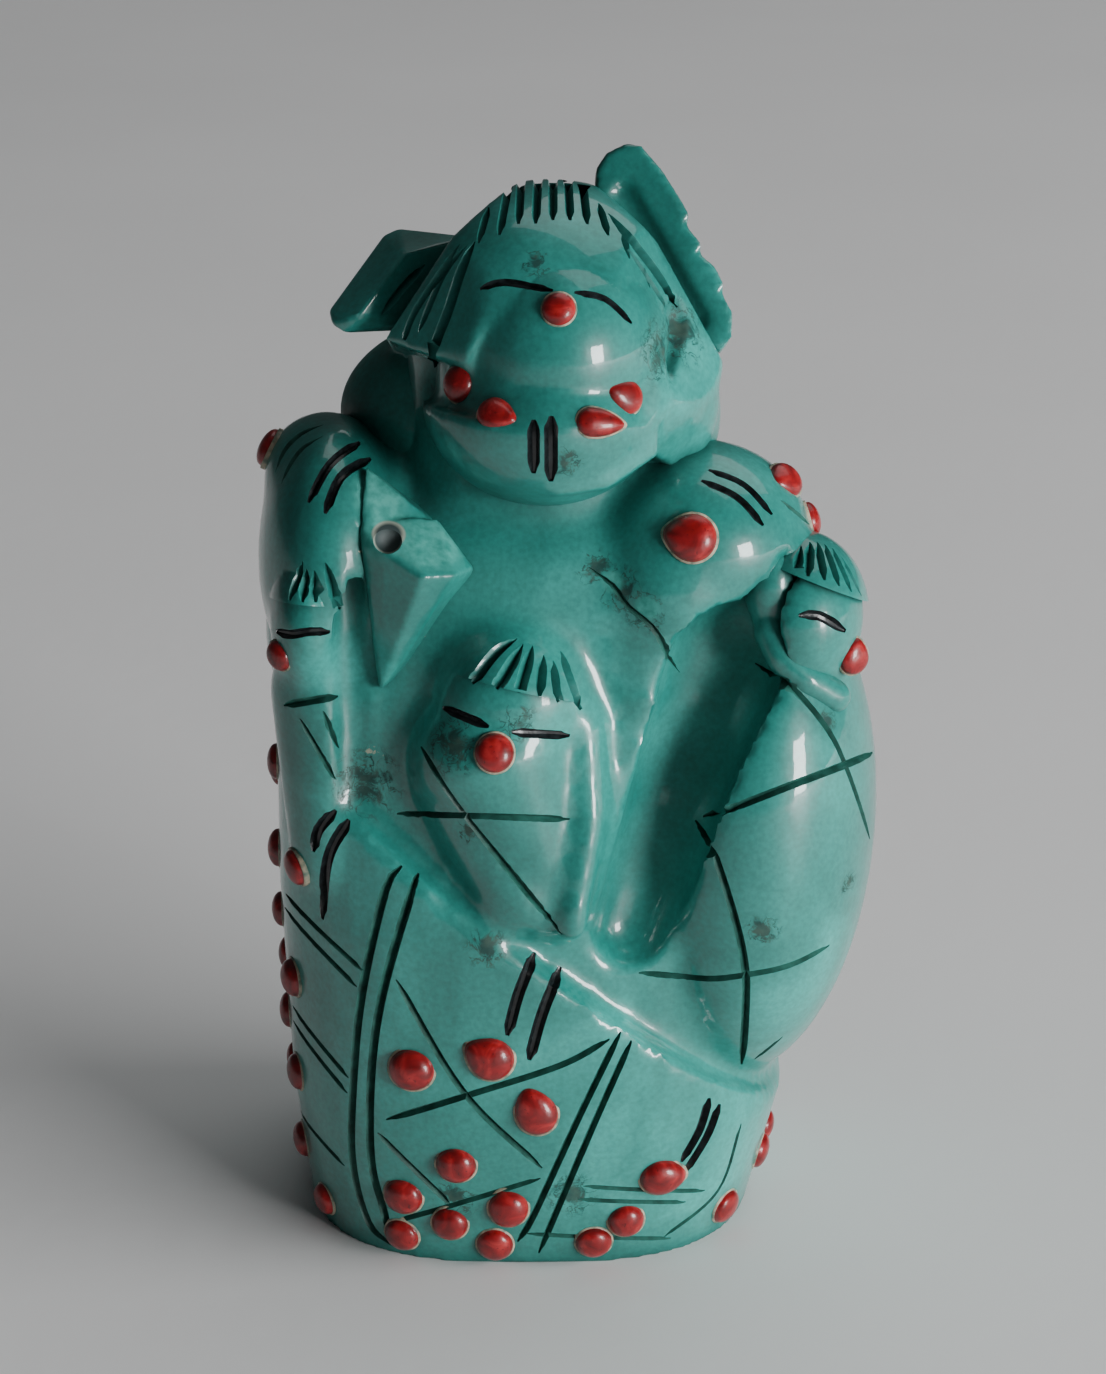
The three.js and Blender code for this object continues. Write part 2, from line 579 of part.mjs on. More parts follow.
const turquoise = new THREE.MeshStandardMaterial({ color: 0x3f9a8c, roughness: 0.25, metalness: 0 });
const red = new THREE.MeshStandardMaterial({ color: 0xb3211c, roughness: 0.22, metalness: 0 });

const group = new THREE.Group();
const addMesh = (name, geometry, material) => {
  const mesh = new THREE.Mesh(geometry, material);
  mesh.name = name;
  group.add(mesh);
};
addMesh("turquoise_figure", simplified(body, FLATNESS), turquoise);
CORALS.forEach(([name, ...row]) => addMesh(`coral_${name}`, coral(...row), red));

export default group;
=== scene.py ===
import math
import random

import bmesh
import bpy
from mathutils import Matrix, Vector
from mathutils.bvhtree import BVHTree


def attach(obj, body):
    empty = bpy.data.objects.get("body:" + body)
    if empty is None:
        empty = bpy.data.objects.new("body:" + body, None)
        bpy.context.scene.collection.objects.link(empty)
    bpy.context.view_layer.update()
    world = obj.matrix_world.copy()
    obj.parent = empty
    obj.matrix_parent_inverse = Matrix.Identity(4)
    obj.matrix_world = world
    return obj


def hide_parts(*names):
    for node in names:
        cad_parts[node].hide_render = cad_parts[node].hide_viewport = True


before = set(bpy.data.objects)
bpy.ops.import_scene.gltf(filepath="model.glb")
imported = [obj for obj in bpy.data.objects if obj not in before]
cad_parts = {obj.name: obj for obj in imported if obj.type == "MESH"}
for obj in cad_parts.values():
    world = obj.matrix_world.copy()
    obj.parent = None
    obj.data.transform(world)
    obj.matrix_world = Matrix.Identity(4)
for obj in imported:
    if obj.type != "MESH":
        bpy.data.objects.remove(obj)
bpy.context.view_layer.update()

# The looks of a small turquoise carving of a mother with three swaddled babies

# Forms are modelled in millimetres in the frame's own axes. Left and right are the viewer's.
MM = 0.001

# How fine the skin is that is drawn over a group of forms
COARSE_SKIN = 0.5
FORM_SKIN = 0.4
BODY_SKIN = 0.37
HEAD_SKIN = 0.24
CHIP_SKIN = 0.16


# Working by hand in the 3D view

def only(piece=None):
    """Object mode, with nothing selected but this piece."""
    if bpy.context.mode != "OBJECT":
        bpy.ops.object.mode_set(mode="OBJECT")
    bpy.ops.object.select_all(action="DESELECT")
    if piece:
        piece.select_set(True)
        bpy.context.view_layer.objects.active = piece


def pick(piece, wanted, kind="FACE"):
    """Edit mode, with the faces, edges or vertices selected that the test wants."""
    only(piece)
    bpy.ops.object.mode_set(mode="EDIT")
    bpy.ops.mesh.select_mode(type=kind)
    bpy.ops.mesh.select_all(action="DESELECT")
    mesh = bmesh.from_edit_mesh(piece.data)
    elements = {"FACE": mesh.faces, "EDGE": mesh.edges, "VERT": mesh.verts}[kind]
    for element in [e for e in elements if wanted(e)]:
        element.select_set(True)
    bmesh.update_edit_mesh(piece.data)


def finished(piece, kind, **settings):
    """A modifier put on a piece and applied."""
    only(piece)
    modifier = piece.modifiers.new(kind.lower(), kind)
    for name, value in settings.items():
        setattr(modifier, name, value)
    bpy.ops.object.modifier_apply(modifier=modifier.name)
    return piece


def joined(*pieces):
    only(pieces[0])
    for piece in pieces:
        piece.select_set(True)
    bpy.ops.object.join()
    return pieces[0]


def cut_away(piece, tool):
    finished(piece, "BOOLEAN", operation="DIFFERENCE", solver="MANIFOLD", object=tool)
    bpy.data.objects.remove(tool)
    return piece


def melted(piece, voxel, polish):
    """One skin over all the shells of a piece, polished until its creases are this soft."""
    finished(piece, "REMESH", mode="VOXEL", voxel_size=voxel, use_smooth_shade=True)
    return polished(piece, voxel, polish)


def polished(piece, voxel, polish, group=""):
    """The piece smoothed, all over or in one vertex group, until its creases are this soft."""
    rounds = max(1, round((2 * polish / voxel) ** 2))
    return finished(piece, "SMOOTH", factor=0.5, iterations=rounds, vertex_group=group)


def sliced(piece, through, normal, bevel=0.0):
    """The piece with all that lies beyond a plane cut off, and the new edge worn by a bevel."""
    pick(piece, lambda face: True)
    bpy.ops.mesh.bisect(
        plane_co=through,
        plane_no=Vector(normal).normalized(),
        use_fill=True,
        clear_outer=True,
        threshold=1e-5,
    )
    if bevel:
        bpy.ops.mesh.bevel(offset=bevel, segments=4, affect="EDGES", clamp_overlap=True)
    only(piece)
    return piece


# Shapes that the forms start from

def ball(centre, radii, turn=(0, 0, 0), segments=64):
    only()
    bpy.ops.mesh.primitive_uv_sphere_add(
        segments=segments,
        ring_count=segments // 2,
        radius=1,
        location=centre,
        rotation=[math.radians(a) for a in turn],
        scale=radii,
    )
    bpy.ops.object.transform_apply(location=True, rotation=True, scale=True)
    return bpy.context.object


def limb(start, end, start_radius, end_radius):
    """A ball at the start, with its far half drawn out to the end."""
    along = Vector(end) - Vector(start)
    turn = [math.degrees(a) for a in along.to_track_quat("Z", "Y").to_euler()]
    made = ball(start, (start_radius,) * 3, turn, segments=48)
    middle = Vector(start)
    pick(made, lambda face: (face.calc_center_median() - middle).dot(along) > 0)
    bpy.ops.mesh.extrude_region_move(TRANSFORM_OT_translate={"value": along})
    size = end_radius / start_radius
    bpy.ops.transform.resize(value=(size, size, size), center_override=end)
    only(made)
    return made


# How full the round corners of an upright block are, and how close is taken as the same place
CORNER_PROFILE = 0.598
CLOSE = 0.01


def upright(stations, side_growth=0.0, front_growth=0.0):
    """An upright block with round corners, drawn up through height, left, right, front, back."""
    rows = [
        (z, left - side_growth, right + side_growth, front - side_growth - front_growth, back + side_growth)
        for z, left, right, front, back in stations
    ]
    only()
    bpy.ops.mesh.primitive_cube_add(size=2)
    block = bpy.context.object
    pick(block, lambda edge: abs(edge.verts[0].co.z - edge.verts[1].co.z) > 1, "EDGE")
    bpy.ops.mesh.bevel(offset=1 - CLOSE, segments=16, profile=CORNER_PROFILE, affect="EDGES")
    cube_sides = (-1, 1, -1, 1)
    for level, row in ((-1, rows[0]), (1, rows[1])):
        pick(block, lambda vertex: abs(vertex.co.z - level) < CLOSE, "VERT")
        restationed((level, *cube_sides), row)
    for old, new in zip(rows[1:], rows[2:]):
        pick(block, lambda face: face.calc_center_median().z > old[0] - CLOSE and face.normal.z > 0.9)
        bpy.ops.mesh.extrude_region_move(TRANSFORM_OT_translate={"value": (0, 0, 0)})
        restationed(old, new)
    only(block)
    return block


def restationed(old, new):
    """Moves what is selected from one station of a block to another."""
    was = Vector(((old[1] + old[2]) / 2, (old[3] + old[4]) / 2, old[0]))
    now = Vector(((new[1] + new[2]) / 2, (new[3] + new[4]) / 2, new[0]))
    bpy.ops.transform.translate(value=now - was)
    size = ((new[2] - new[1]) / (old[2] - old[1]), (new[4] - new[3]) / (old[4] - old[3]), 1)
    bpy.ops.transform.resize(value=size, center_override=now)


# The front drawing, seen from a little above: x to the right, h up, and deep away from the viewer
DRAWING_TILT = math.radians(22)
INTO = Vector((0, math.cos(DRAWING_TILT), -math.sin(DRAWING_TILT)))
UP = Vector((0, math.sin(DRAWING_TILT), math.cos(DRAWING_TILT)))
MIDDLE = 30


def drawn(x, h, deep=0.0):
    return Vector((x, 0, MIDDLE)) + UP * h + INTO * deep


def drawn_way(x, h, deep=0.0):
    return Vector((x, 0, 0)) + UP * h + INTO * deep


def cut_flat(piece, inside, *corners, bevel=0.0):
    """The piece cut flat through three corners of the drawing, keeping the side where inside lies."""
    a, b, c = [drawn(*corner) for corner in corners]
    normal = (b - a).cross(c - a)
    if normal.dot(drawn(*inside) - a) > 0:
        normal.negate()
    return sliced(piece, a, normal, bevel)


def faceted(corners, worn):
    """A block with flat faces between these corners of the drawing, its edges worn a little."""
    only()
    bpy.ops.mesh.primitive_circle_add(vertices=len(corners))
    block = bpy.context.object
    for vertex, corner in zip(block.data.vertices, corners):
        vertex.co = drawn(*corner)
    pick(block, lambda vertex: True, "VERT")
    bpy.ops.mesh.convex_hull()
    bpy.ops.mesh.dissolve_limited(angle_limit=math.radians(1))
    bpy.ops.mesh.select_all(action="SELECT")
    bpy.ops.mesh.bevel(offset=worn, segments=3, affect="EDGES")
    only(block)
    return block


def plate(outline, front, back, lean):
    """A flat plate with this outline in the drawing, whose right side leans to the viewer."""
    only()
    bpy.ops.mesh.primitive_circle_add(vertices=len(outline), fill_type="NGON")
    made = bpy.context.object
    for vertex, (x, h) in zip(made.data.vertices, outline):
        vertex.co = drawn(x, h, back - lean * x)
    pick(made, lambda face: True)
    bpy.ops.mesh.extrude_region_move(TRANSFORM_OT_translate={"value": INTO * (front - back)})
    bpy.ops.mesh.select_all(action="SELECT")
    bpy.ops.mesh.normals_make_consistent(inside=False)
    only(made)
    return made


# The mother's body, and the blanket round it

# The blank of stone in stations: height, left, right, front and back
BLANK = (
    (-0.1, -13.8, 11.0, -11.4, 10.2),
    (8, -14.7, 13.0, -12.8, 11.2),
    (20, -15.2, 13.8, -13.1, 12.0),
    (32, -15.2, 13.8, -11.6, 12.2),
    (40, -15.0, 13.2, -10.4, 11.6),
    (46, -14.4, 12.4, -9.4, 10.4),
)


def mother_body():
    torso = sliced(upright(BLANK), (0, 0, 43), (0, 0, 1), bevel=3.5)
    torso = joined(torso, ball((-0.8, 1.0, 33.5), (15.6, 12.4, 11.5)))
    torso = melted(torso, COARSE_SKIN, 1.0)
    torso = cut_away(torso, ball((-14.6, -11.2, 37.8), (5.2, 4.0, 6.2)))
    torso = cut_away(torso, ball((16.6, -10.6, 38.2), (4.6, 4.4, 5.6)))
    left_arm = ball((-11.9, -4.0, 39.4), (4.3, 7.5, 7.9))
    left_shoulder = ball(drawn(-12.4, 11.6, -8.0), (3.5, 4.2, 3.5))
    right_arm = ball((8.3, -5.2, 41.2), (5.9, 6.0, 5.0), (0, 12, 0))
    right_forearm = ball(drawn(6.6, 6.0, -9.2), (4.9, 5.4, 5.8))
    dress_fold = limb((5.4, -8.4, 38.5), (4.3, -11.8, 22.0), 2.5, 1.5)
    neck = limb((-1, 0, 42), (-1, -1, 50), 8.5, 7.0)
    arms = (left_arm, left_shoulder, right_arm, right_forearm)
    return melted(joined(torso, *arms, dress_fold, neck), COARSE_SKIN, 0.6)


def babies():
    left = [
        ball((-13.1, -7.6, 37.2), (2.3, 4.0, 4.2)),
        limb((-11.8, -7.4, 33), (-11.2, -8.4, 24), 3.7, 3.4),
    ]
    middle = [
        ball((-2.2, -10.2, 33.5), (4.4, 4.0, 4.7)),
        limb((-3.0, -10.3, 30.2), (0.1, -12.4, 22.0), 4.9, 1.9),
        limb(drawn(-4.8, -4.5, -9.6), drawn(-1.8, -11.0, -8.8), 3.1, 2.6),
        limb(drawn(1.8, -1.5, -12.2), drawn(2.1, -7.0, -11.2), 0.8, 0.9),
        limb(drawn(2.1, -7.0, -11.2), drawn(1.1, -13.0, -10.2), 0.9, 0.9),
    ]
    right = [
        ball((13.4, -7.2, 37.2), (3.5, 4.2, 4.3)),
        ball((11.1, -5.6, 23.8), (6.9, 8.7, 14.8), (0, 4, 0)),
    ]
    return joined(*left, *middle, *right)


# A place on the blanket's edge where it falls across the front, and the way that edge faces
BLANKET_EDGE = (3.7, -15, 15.6)
BLANKET_EDGE_FACES = (0.622, 0.02, 0.782)


def blanket():
    wrap = upright(BLANK, side_growth=0.4, front_growth=1.1)
    wrap = sliced(wrap, (0, 0, 40), (0, 0, 1), bevel=2.0)
    return sliced(wrap, BLANKET_EDGE, BLANKET_EDGE_FACES, bevel=0.6)


# Each hollow is a limb cut away: its start and end in the drawing, its radii, and how soft its rim is
HOLLOWS = (
    ((9.4, 1.6, -11.8), (4.3, -13.4, -8.4), 3.2, 2.2, 0.35),
    ((12.4, 6.2, -12.2), (9.6, 1.6, -11.8), 0.9, 2.2, 0.35),
    ((-10.9, 5.5, -13.2), (-10.6, -7.0, -10.4), 0.9, 1.5, 0.35),
)
# How far past its own radius a hollow's rim is softened
RIM_REACH = 1.2

# Where the forms flow into each other: a line in the drawing, its reach and how soft it is
SOFT_SEAMS = (
    ((-6.5, 1.0, -13.0), (-2.4, 4.8, -13.2), 3.0, 0.8),
    ((-2.4, 4.8, -13.2), (2.2, 1.5, -13.0), 3.0, 0.8),
    ((1.9, -1.5, -13.0), (2.0, -11.5, -11.2), 1.6, 0.45),
)

# Edges of the dress and the blanket, worn by handling, in the same way
WORN_EDGES = (
    ((2.2, 3.0, -13.0), (2.6, -5.0, -12.2), 1.8, 0.5),
    ((3.2, 1.0, -12.8), (3.8, -6.0, -12.0), 1.8, 0.5),
    ((2.6, -5.0, -12.2), (1.6, -13.5, -11.2), 1.6, 0.4),
    ((6.4, 1.8, -12.6), (3.5, -5.5, -12.0), 1.6, 0.45),
    ((3.5, -5.5, -12.0), (2.4, -12.0, -11.2), 1.5, 0.45),
    ((-10.5, -6.9, -9.3), (-5.0, -11.2, -9.4), 2.0, 0.6),
    ((-5.0, -11.2, -9.4), (-3.0, -12.9, -10.1), 2.0, 0.6),
    ((-3.0, -12.9, -10.1), (-1.5, -13.8, -8.9), 2.0, 0.6),
    ((-1.5, -13.8, -8.9), (1.3, -15.4, -7.9), 2.0, 0.6),
    ((1.3, -15.4, -7.9), (8.5, -18.8, -5.1), 2.0, 0.6),
)

# Where the face meets the curtains of hair and the collar, in the same way
HEAD_SEAMS = (
    ((-3.7, 20.5, -18.2), (-3.5, 16.3, -17.8), 2.4, 1.0),
    ((-5.0, 16.6, -17.0), (-3.2, 16.3, -17.6), 1.6, 0.8),
    ((5.5, 16.4, -17.0), (5.3, 13.9, -16.8), 1.8, 0.9),
)


def near(piece, start, end, reach):
    """A vertex group round a line, at full weight but for the outer third of its reach."""
    group = piece.vertex_groups.new(name="near")
    along = end - start
    for vertex in piece.data.vertices:
        t = max(0.0, min(1.0, (vertex.co - start).dot(along) / along.length_squared))
        away = (vertex.co - start - along * t).length
        if away < reach:
            group.add([vertex.index], min(1.0, 3 * (1 - away / reach)), "REPLACE")
    return group.name


def softened(piece, voxel, start, end, reach, softness):
    """The piece polished round one line of the drawing."""
    polished(piece, voxel, softness, near(piece, drawn(*start), drawn(*end), reach))
    piece.vertex_groups.clear()


def body():
    made = melted(joined(mother_body(), babies()), FORM_SKIN, 0.3)
    for seam in SOFT_SEAMS:
        softened(made, FORM_SKIN, *seam)
    for start, end, start_radius, end_radius, softness in HOLLOWS:
        cut_away(made, limb(drawn(*start), drawn(*end), start_radius, end_radius))
        softened(made, FORM_SKIN, start, end, max(start_radius, end_radius) + RIM_REACH, softness)
    made = melted(joined(made, blanket()), BODY_SKIN, 0.3)
    for edge in WORN_EDGES:
        softened(made, BODY_SKIN, *edge)
    return sliced(made, (0, 0, 0), (0, 0, -1))


# Each baby's cap of hair: its centre and radii, a place on its hairline, and the way down over the face
BABY_CAPS = (
    ((-2.2, -10.2, 33.5), (4.2, 4.6, 4.4), (-1.3, -0.4), (-0.23, -0.97)),
    ((-13.2, -8.0, 37.4), (2.2, 4.3, 4.4), (-13.0, 4.3), (-0.1, -0.99)),
    ((13.4, -7.2, 37.2), (3.8, 4.6, 4.6), (14.4, 5.3), (-0.37, -0.93)),
)


def baby_caps():
    """A cap of hair on each baby, its fringe a ledge over the face."""
    made = []
    for centre, radii, hairline, down in BABY_CAPS:
        front = (Vector(centre) - drawn(0, 0)).dot(INTO) - radii[1]
        made.append(sliced(ball(centre, radii), drawn(*hairline, front), drawn_way(*down, 0.1), bevel=0.12))
    return made


# The right baby's hood: how thick its roll is, and the route of its rim in the drawing
HOOD_ROLL = 0.95
HOOD_RIM = (
    (12.0, 4.6, -11.2),
    (11.7, 3.0, -11.6),
    (12.3, 1.6, -11.7),
    (13.6, 0.4, -11.5),
    (15.2, -0.5, -10.6),
)


def baby_hood():
    """The rim of the right baby's hood, a roll round the left and the bottom of its face."""
    roll = [limb(drawn(*a), drawn(*b), HOOD_ROLL, HOOD_ROLL) for a, b in zip(HOOD_RIM, HOOD_RIM[1:])]
    beside_cap = ball(drawn(11.8, 5.2, -11.5), (1.5, 1.5, 2.4))
    return melted(joined(*roll, beside_cap), HEAD_SKIN, 0.3)


# What is left of the broken forearm: a flat flake below the shoulder, and a block that juts out below it
FLAKE_CORNERS = (
    (-10.0, 11.8, -13.4),
    (-6.6, 9.0, -12.8),
    (-10.2, 8.9, -14.2),
    (-9.6, 8.6, -14.3),
    (-6.0, 9.0, -9.0),
    (-10.0, 11.0, -9.0),
    (-10.0, 7.0, -9.0),
    (-9.6, 7.0, -13.8),
    (-6.5, 7.0, -12.8),
)
BLOCK_CORNERS = (
    (-10.3, 8.6, -14.2),
    (-7.6, 9.1, -13.7),
    (-6.2, 9.0, -13.1),
    (-4.2, 6.3, -13.6),
    (-5.2, 5.9, -15.2),
    (-6.9, 5.8, -15.8),
    (-9.0, 7.2, -15.2),
    (-10.2, 7.5, -14.4),
    (-9.3, -0.2, -11.8),
    (-8.0, 1.4, -12.6),
    (-9.8, 4.0, -11.4),
    (-10.2, 6.0, -9.0),
    (-9.6, 0.0, -9.0),
    (-4.8, 7.0, -9.0),
    (-6.5, 2.0, -9.0),
)
# The seat of a lost dot: its place, the depths of its floor and mouth, its radii there, and its glue's reach
LOST_DOT = (-8.75, 7.85)
LOST_DOT_FLOOR = -14.9
LOST_DOT_MOUTH = -17
LOST_DOT_RADII = (0.8, 0.9)
LOST_DOT_GLUE = 1.05


def arm_stump():
    """The broken faces meet in edges, and the seat of a lost dot is sunk in them."""
    stump = joined(faceted(FLAKE_CORNERS, worn=0.07), faceted(BLOCK_CORNERS, worn=0.09))
    stump = melted(stump, CHIP_SKIN, 0.1)
    seat = limb(drawn(*LOST_DOT, LOST_DOT_FLOOR), drawn(*LOST_DOT, LOST_DOT_MOUTH), *LOST_DOT_RADII)
    return cut_away(stump, seat)


# The head, thrown back a little: hair that hangs like a tent, with the face between its curtains

# The flats that a knife cut on the hair: three corners of each in the drawing, and how worn its edge is
HAIR_FLATS = (
    ((-5.1, 23.9, -14), (-2.5, 26.4, -14), (-3.8, 25.1, -4), 0.3),
    ((-5.2, 23.8, -14), (-9.0, 18.5, -14), (-7.0, 21.2, -4), 0.2),
    ((2.9, 26.2, -14), (5.5, 23.6, -14), (4.2, 24.9, -4), 0.2),
    ((5.5, 23.6, -14), (7.8, 19.8, -14), (6.6, 21.7, -4), 0.2),
    ((-4.5, 23.4, -17.5), (-6.3, 17.4, -16.6), (-9.3, 19.2, -13.2), 0.2),
    ((3.7, 22.4, -18.0), (5.7, 18.0, -16.5), (7.6, 20.4, -13.2), 0.2),
    ((-8.9, 18.5, -14), (-6.4, 17.4, -14), (-7.6, 18.0, -6), 0.2),
)


def hair():
    """The tent of hair, hollowed for the face and the temple, with its bun and lobes."""
    tent = ball((-0.2, -3.4, 50.9), (9.4, 8.6, 9.3), segments=96)
    heart = (0, 19, -12)
    for *corners, worn in HAIR_FLATS:
        tent = cut_flat(tent, heart, *corners, bevel=worn)
    tent = cut_away(tent, ball(drawn(0.5, 16.0, -18.6), (4.8, 6.1, 4.4)))
    tent = cut_away(tent, limb(drawn(6.8, 19.6, -14.9), drawn(5.5, 16.3, -16.4), 1.1, 0.7))
    tent = cut_away(tent, limb(drawn(5.5, 19.2, -16.6), drawn(5.4, 16.6, -16.6), 0.8, 0.7))
    left_bun = ball((-3.4, 1.0, 46.2), (8.4, 6.2, 5.4))
    right_bun = ball((5.0, -1.6, 46.9), (4.2, 5.0, 5.0))
    right_lobe = ball(drawn(6.6, 15.6, -11.2), (2.4, 2.9, 3.8))
    return melted(joined(tent, left_bun, right_bun, right_lobe), HEAD_SKIN, 0.28)


# The tall whorl on the right, from its foot round by the tip and down the notched rim
TALL_WHORL = (
    (2.2, 25.4), (2.3, 28.0), (2.9, 28.9), (4.0, 29.4), (4.8, 29.2), (5.9, 27.9), (6.9, 26.3), (7.4, 25.4),
    (7.1, 25.0), (8.0, 23.9), (7.9, 23.3), (8.7, 22.7), (9.2, 21.7), (9.1, 21.2), (9.7, 20.1), (9.6, 18.8),
    (9.0, 18.0), (6.8, 19.0), (4.5, 22.2),
)


def tall_whorl():
    """A leaf-shaped plate with a valley cut down its front, that stands beside the head."""
    leaf = plate(TALL_WHORL, front=-10.4, back=-7.8, lean=0.14)
    valley = limb(drawn(3.7, 26.6, -11.5), drawn(7.5, 19.8, -12.1), 1.0, 1.1)
    return melted(cut_away(leaf, valley), HEAD_SKIN, 0.2)


# The short whorl on the left, a wedge with flat knife-cut faces: its corners in the drawing
LEFT_WHORL_CORNERS = (
    (-9.2, 24.6, -9.4),
    (-8.4, 25.0, -9.2),
    (-4.4, 24.5, -9.6),
    (-8.0, 23.3, -11.8),
    (-6.3, 23.8, -10.8),
    (-10.5, 19.8, -12.8),
    (-12.1, 20.3, -11.2),
    (-11.9, 19.5, -11.8),
    (-11.2, 19.0, -11.9),
    (-9.2, 19.4, -11.2),
    (-9.4, 24.0, -7.6),
    (-11.8, 20.2, -8.0),
    (-4.4, 24.0, -7.6),
    (-8.5, 19.5, -8.0),
    (-4.4, 20.5, -9.0),
)


def left_whorl():
    return faceted(LEFT_WHORL_CORNERS, worn=0.18)


# The front of the collar, which hangs nearly upright, with a flat knife-cut right half
BIB_CORNERS = (
    (-5.6, 12.4, -15.3),
    (-3.4, 12.9, -18.0),
    (-1.0, 13.0, -19.0),
    (1.2, 12.8, -19.1),
    (5.4, 13.5, -16.9),
    (5.8, 12.3, -16.2),
    (3.0, 10.3, -17.5),
    (0.3, 9.9, -17.8),
    (-2.8, 10.4, -16.9),
    (-5.0, 13.0, -12.0),
    (5.4, 13.0, -12.0),
    (0.3, 10.6, -12.0),
)


def face_and_collar():
    collar = ball((-0.4, -6.9, 49.5), (6.6, 7.0, 5.7))
    heart = (0, 11, -14)
    collar = cut_flat(collar, heart, (-6.8, 15.2, -14), (5.9, 14.5, -14), (0, 13.5, -20.2), bevel=0.35)
    collar = cut_flat(collar, heart, (5.5, 14.8, -16), (5.9, 12.3, -16), (5.9, 12.3, -8), bevel=0.15)
    face = ball((0.4, -5.9, 52.3), (5.8, 6.7, 6.0))
    jaw = ball((-0.2, -5.9, 49.9), (6.1, 6.5, 5.8))
    lip = ball(drawn(0.1, 14.3, -16.8), (4.4, 3.4, 2.5))
    cheek = ball(drawn(5.1, 15.6, -14.2), (1.4, 2.5, 1.9))
    cheek_edge = limb(drawn(5.1, 16.9, -16.3), drawn(5.0, 14.5, -16.3), 1.05, 1.05)
    bib = faceted(BIB_CORNERS, worn=0.15)
    return melted(joined(collar, face, jaw, lip, cheek, cheek_edge, bib), HEAD_SKIN, 0.5)


def grown(piece, *others):
    """The piece made one with others, with a sharp line where they meet."""
    for other in others:
        finished(piece, "BOOLEAN", operation="UNION", solver="MANIFOLD", object=other)
        bpy.data.objects.remove(other)
    return piece


def carved_stone():
    stone = grown(
        body(),
        hair(),
        tall_whorl(),
        face_and_collar(),
        left_whorl(),
        arm_stump(),
        baby_hood(),
        *baby_caps(),
    )
    for seam in HEAD_SEAMS:
        softened(stone, HEAD_SKIN, *seam)
    stone.name = "stone"
    stone.data.materials.clear()
    return stone


# Places on the stone, by the front drawing or, for the sides and back, by an azimuth and a height

# How far from the middle a look at the stone starts, from the front and from a side
FRONT_START = 60
SIDE_START = 40


class Drawing:
    """The surface of the stone, looked up from the front drawing or round the sides."""

    def __init__(self, stone):
        corners = [vertex.co.copy() for vertex in stone.data.vertices]
        self.surface = BVHTree.FromPolygons(corners, [face.vertices[:] for face in stone.data.polygons])

    def struck(self, start, direction):
        """The place and the slope of the stone where a look strikes it, or nearly does."""
        point, normal, _, _ = self.surface.ray_cast(start, direction)
        if point is None:
            point, normal, _, _ = self.surface.find_nearest(start + direction * FRONT_START)
        return point, normal

    def front(self, x, h):
        return self.struck(drawn(x, h, -FRONT_START), INTO)

    def side(self, azimuth, z):
        a = math.radians(azimuth)
        outward = Vector((math.sin(a), -math.cos(a), 0))
        return self.struck(Vector((0, 0, z)) + outward * SIDE_START, -outward)

    def spots(self, rows):
        """Places of the front drawing brought onto the stone, with their reach."""
        return [(self.front(x, h)[0], reach) for x, h, reach in rows]


def smooth_route(points, step=0.6):
    """Points along a smooth line through the given ones."""
    guides = [2 * points[0] - points[1], *points, 2 * points[-1] - points[-2]]
    route = []
    for a, b, c, d in zip(guides, guides[1:], guides[2:], guides[3:]):
        count = max(2, math.ceil((c - b).length / step))
        for i in range(count):
            t = i / count
            bend = (2 * a - 5 * b + 4 * c - d) * t**2
            sway = (3 * b - a - 3 * c + d) * t**3
            route.append(0.5 * (2 * b + (c - a) * t + bend + sway))
    return [*route, points[-1]]


# The nose of a knife, from one side to the other: how far across, and how deep
POINTED = ((-1, 0), (0, 1), (1, 0))
ROUND = ((-1, 0), (-0.75, 0.55), (-0.35, 0.92), (0.35, 0.92), (0.75, 0.55), (1, 0))
# How far a knife stands out of the stone, and how far back it goes on where it cuts over the top
STAND_OUT = 0.35
OVER_THE_TOP = 3.0
# The share of its length over which a cut comes out at each end, the least share, and how full its ends are
USUAL_ENDS = (0.12, 0.12)
LEAST_END = 0.02
FULLNESS = 0.7


def knife(look_up, points, width, depth, material, nose, ends=USUAL_ENDS):
    """A cutter that follows a route over the stone and comes out of it at its ends."""
    route = [look_up(*place) for place in smooth_route([Vector(point) for point in points])]
    if not ends[0]:
        # With no share at its start it goes on over the edge there, to the back
        route.insert(0, (route[0][0] + INTO * OVER_THE_TOP, UP))
    mesh = bmesh.new()
    rings = []
    for i, (point, normal) in enumerate(route):
        before = route[max(i - 1, 0)]
        after = route[min(i + 1, len(route) - 1)]
        up = (before[1] + 2 * normal + after[1]).normalized()
        across = up.cross(after[0] - before[0]).normalized()
        t = i / (len(route) - 1)
        going_in = (t + LEAST_END) / max(ends[0], LEAST_END)
        coming_out = (1 + LEAST_END - t) / max(ends[1], LEAST_END)
        sunk = math.sin(math.pi / 2 * min(1.0, going_in, coming_out)) ** FULLNESS
        deep = depth * sunk
        half = width / 2 * sunk
        wide = half * (1 + STAND_OUT / depth)
        ring = [point + across * half * x - up * deep * down for x, down in nose[1:-1]]
        ring = [point - across * wide + up * STAND_OUT, *ring, point + across * wide + up * STAND_OUT]
        rings.append([mesh.verts.new(corner) for corner in ring])
    for ring, following in zip(rings, rings[1:]):
        for i in range(len(ring)):
            j = (i + 1) % len(ring)
            mesh.faces.new((ring[i], ring[j], following[j], following[i]))
    mesh.faces.new(rings[0])
    mesh.faces.new(reversed(rings[-1]))
    bmesh.ops.recalc_face_normals(mesh, faces=mesh.faces)
    made = bpy.data.meshes.new("knife")
    mesh.to_mesh(made)
    mesh.free()
    made.materials.append(material)
    return bpy.data.objects.new("knife", made)


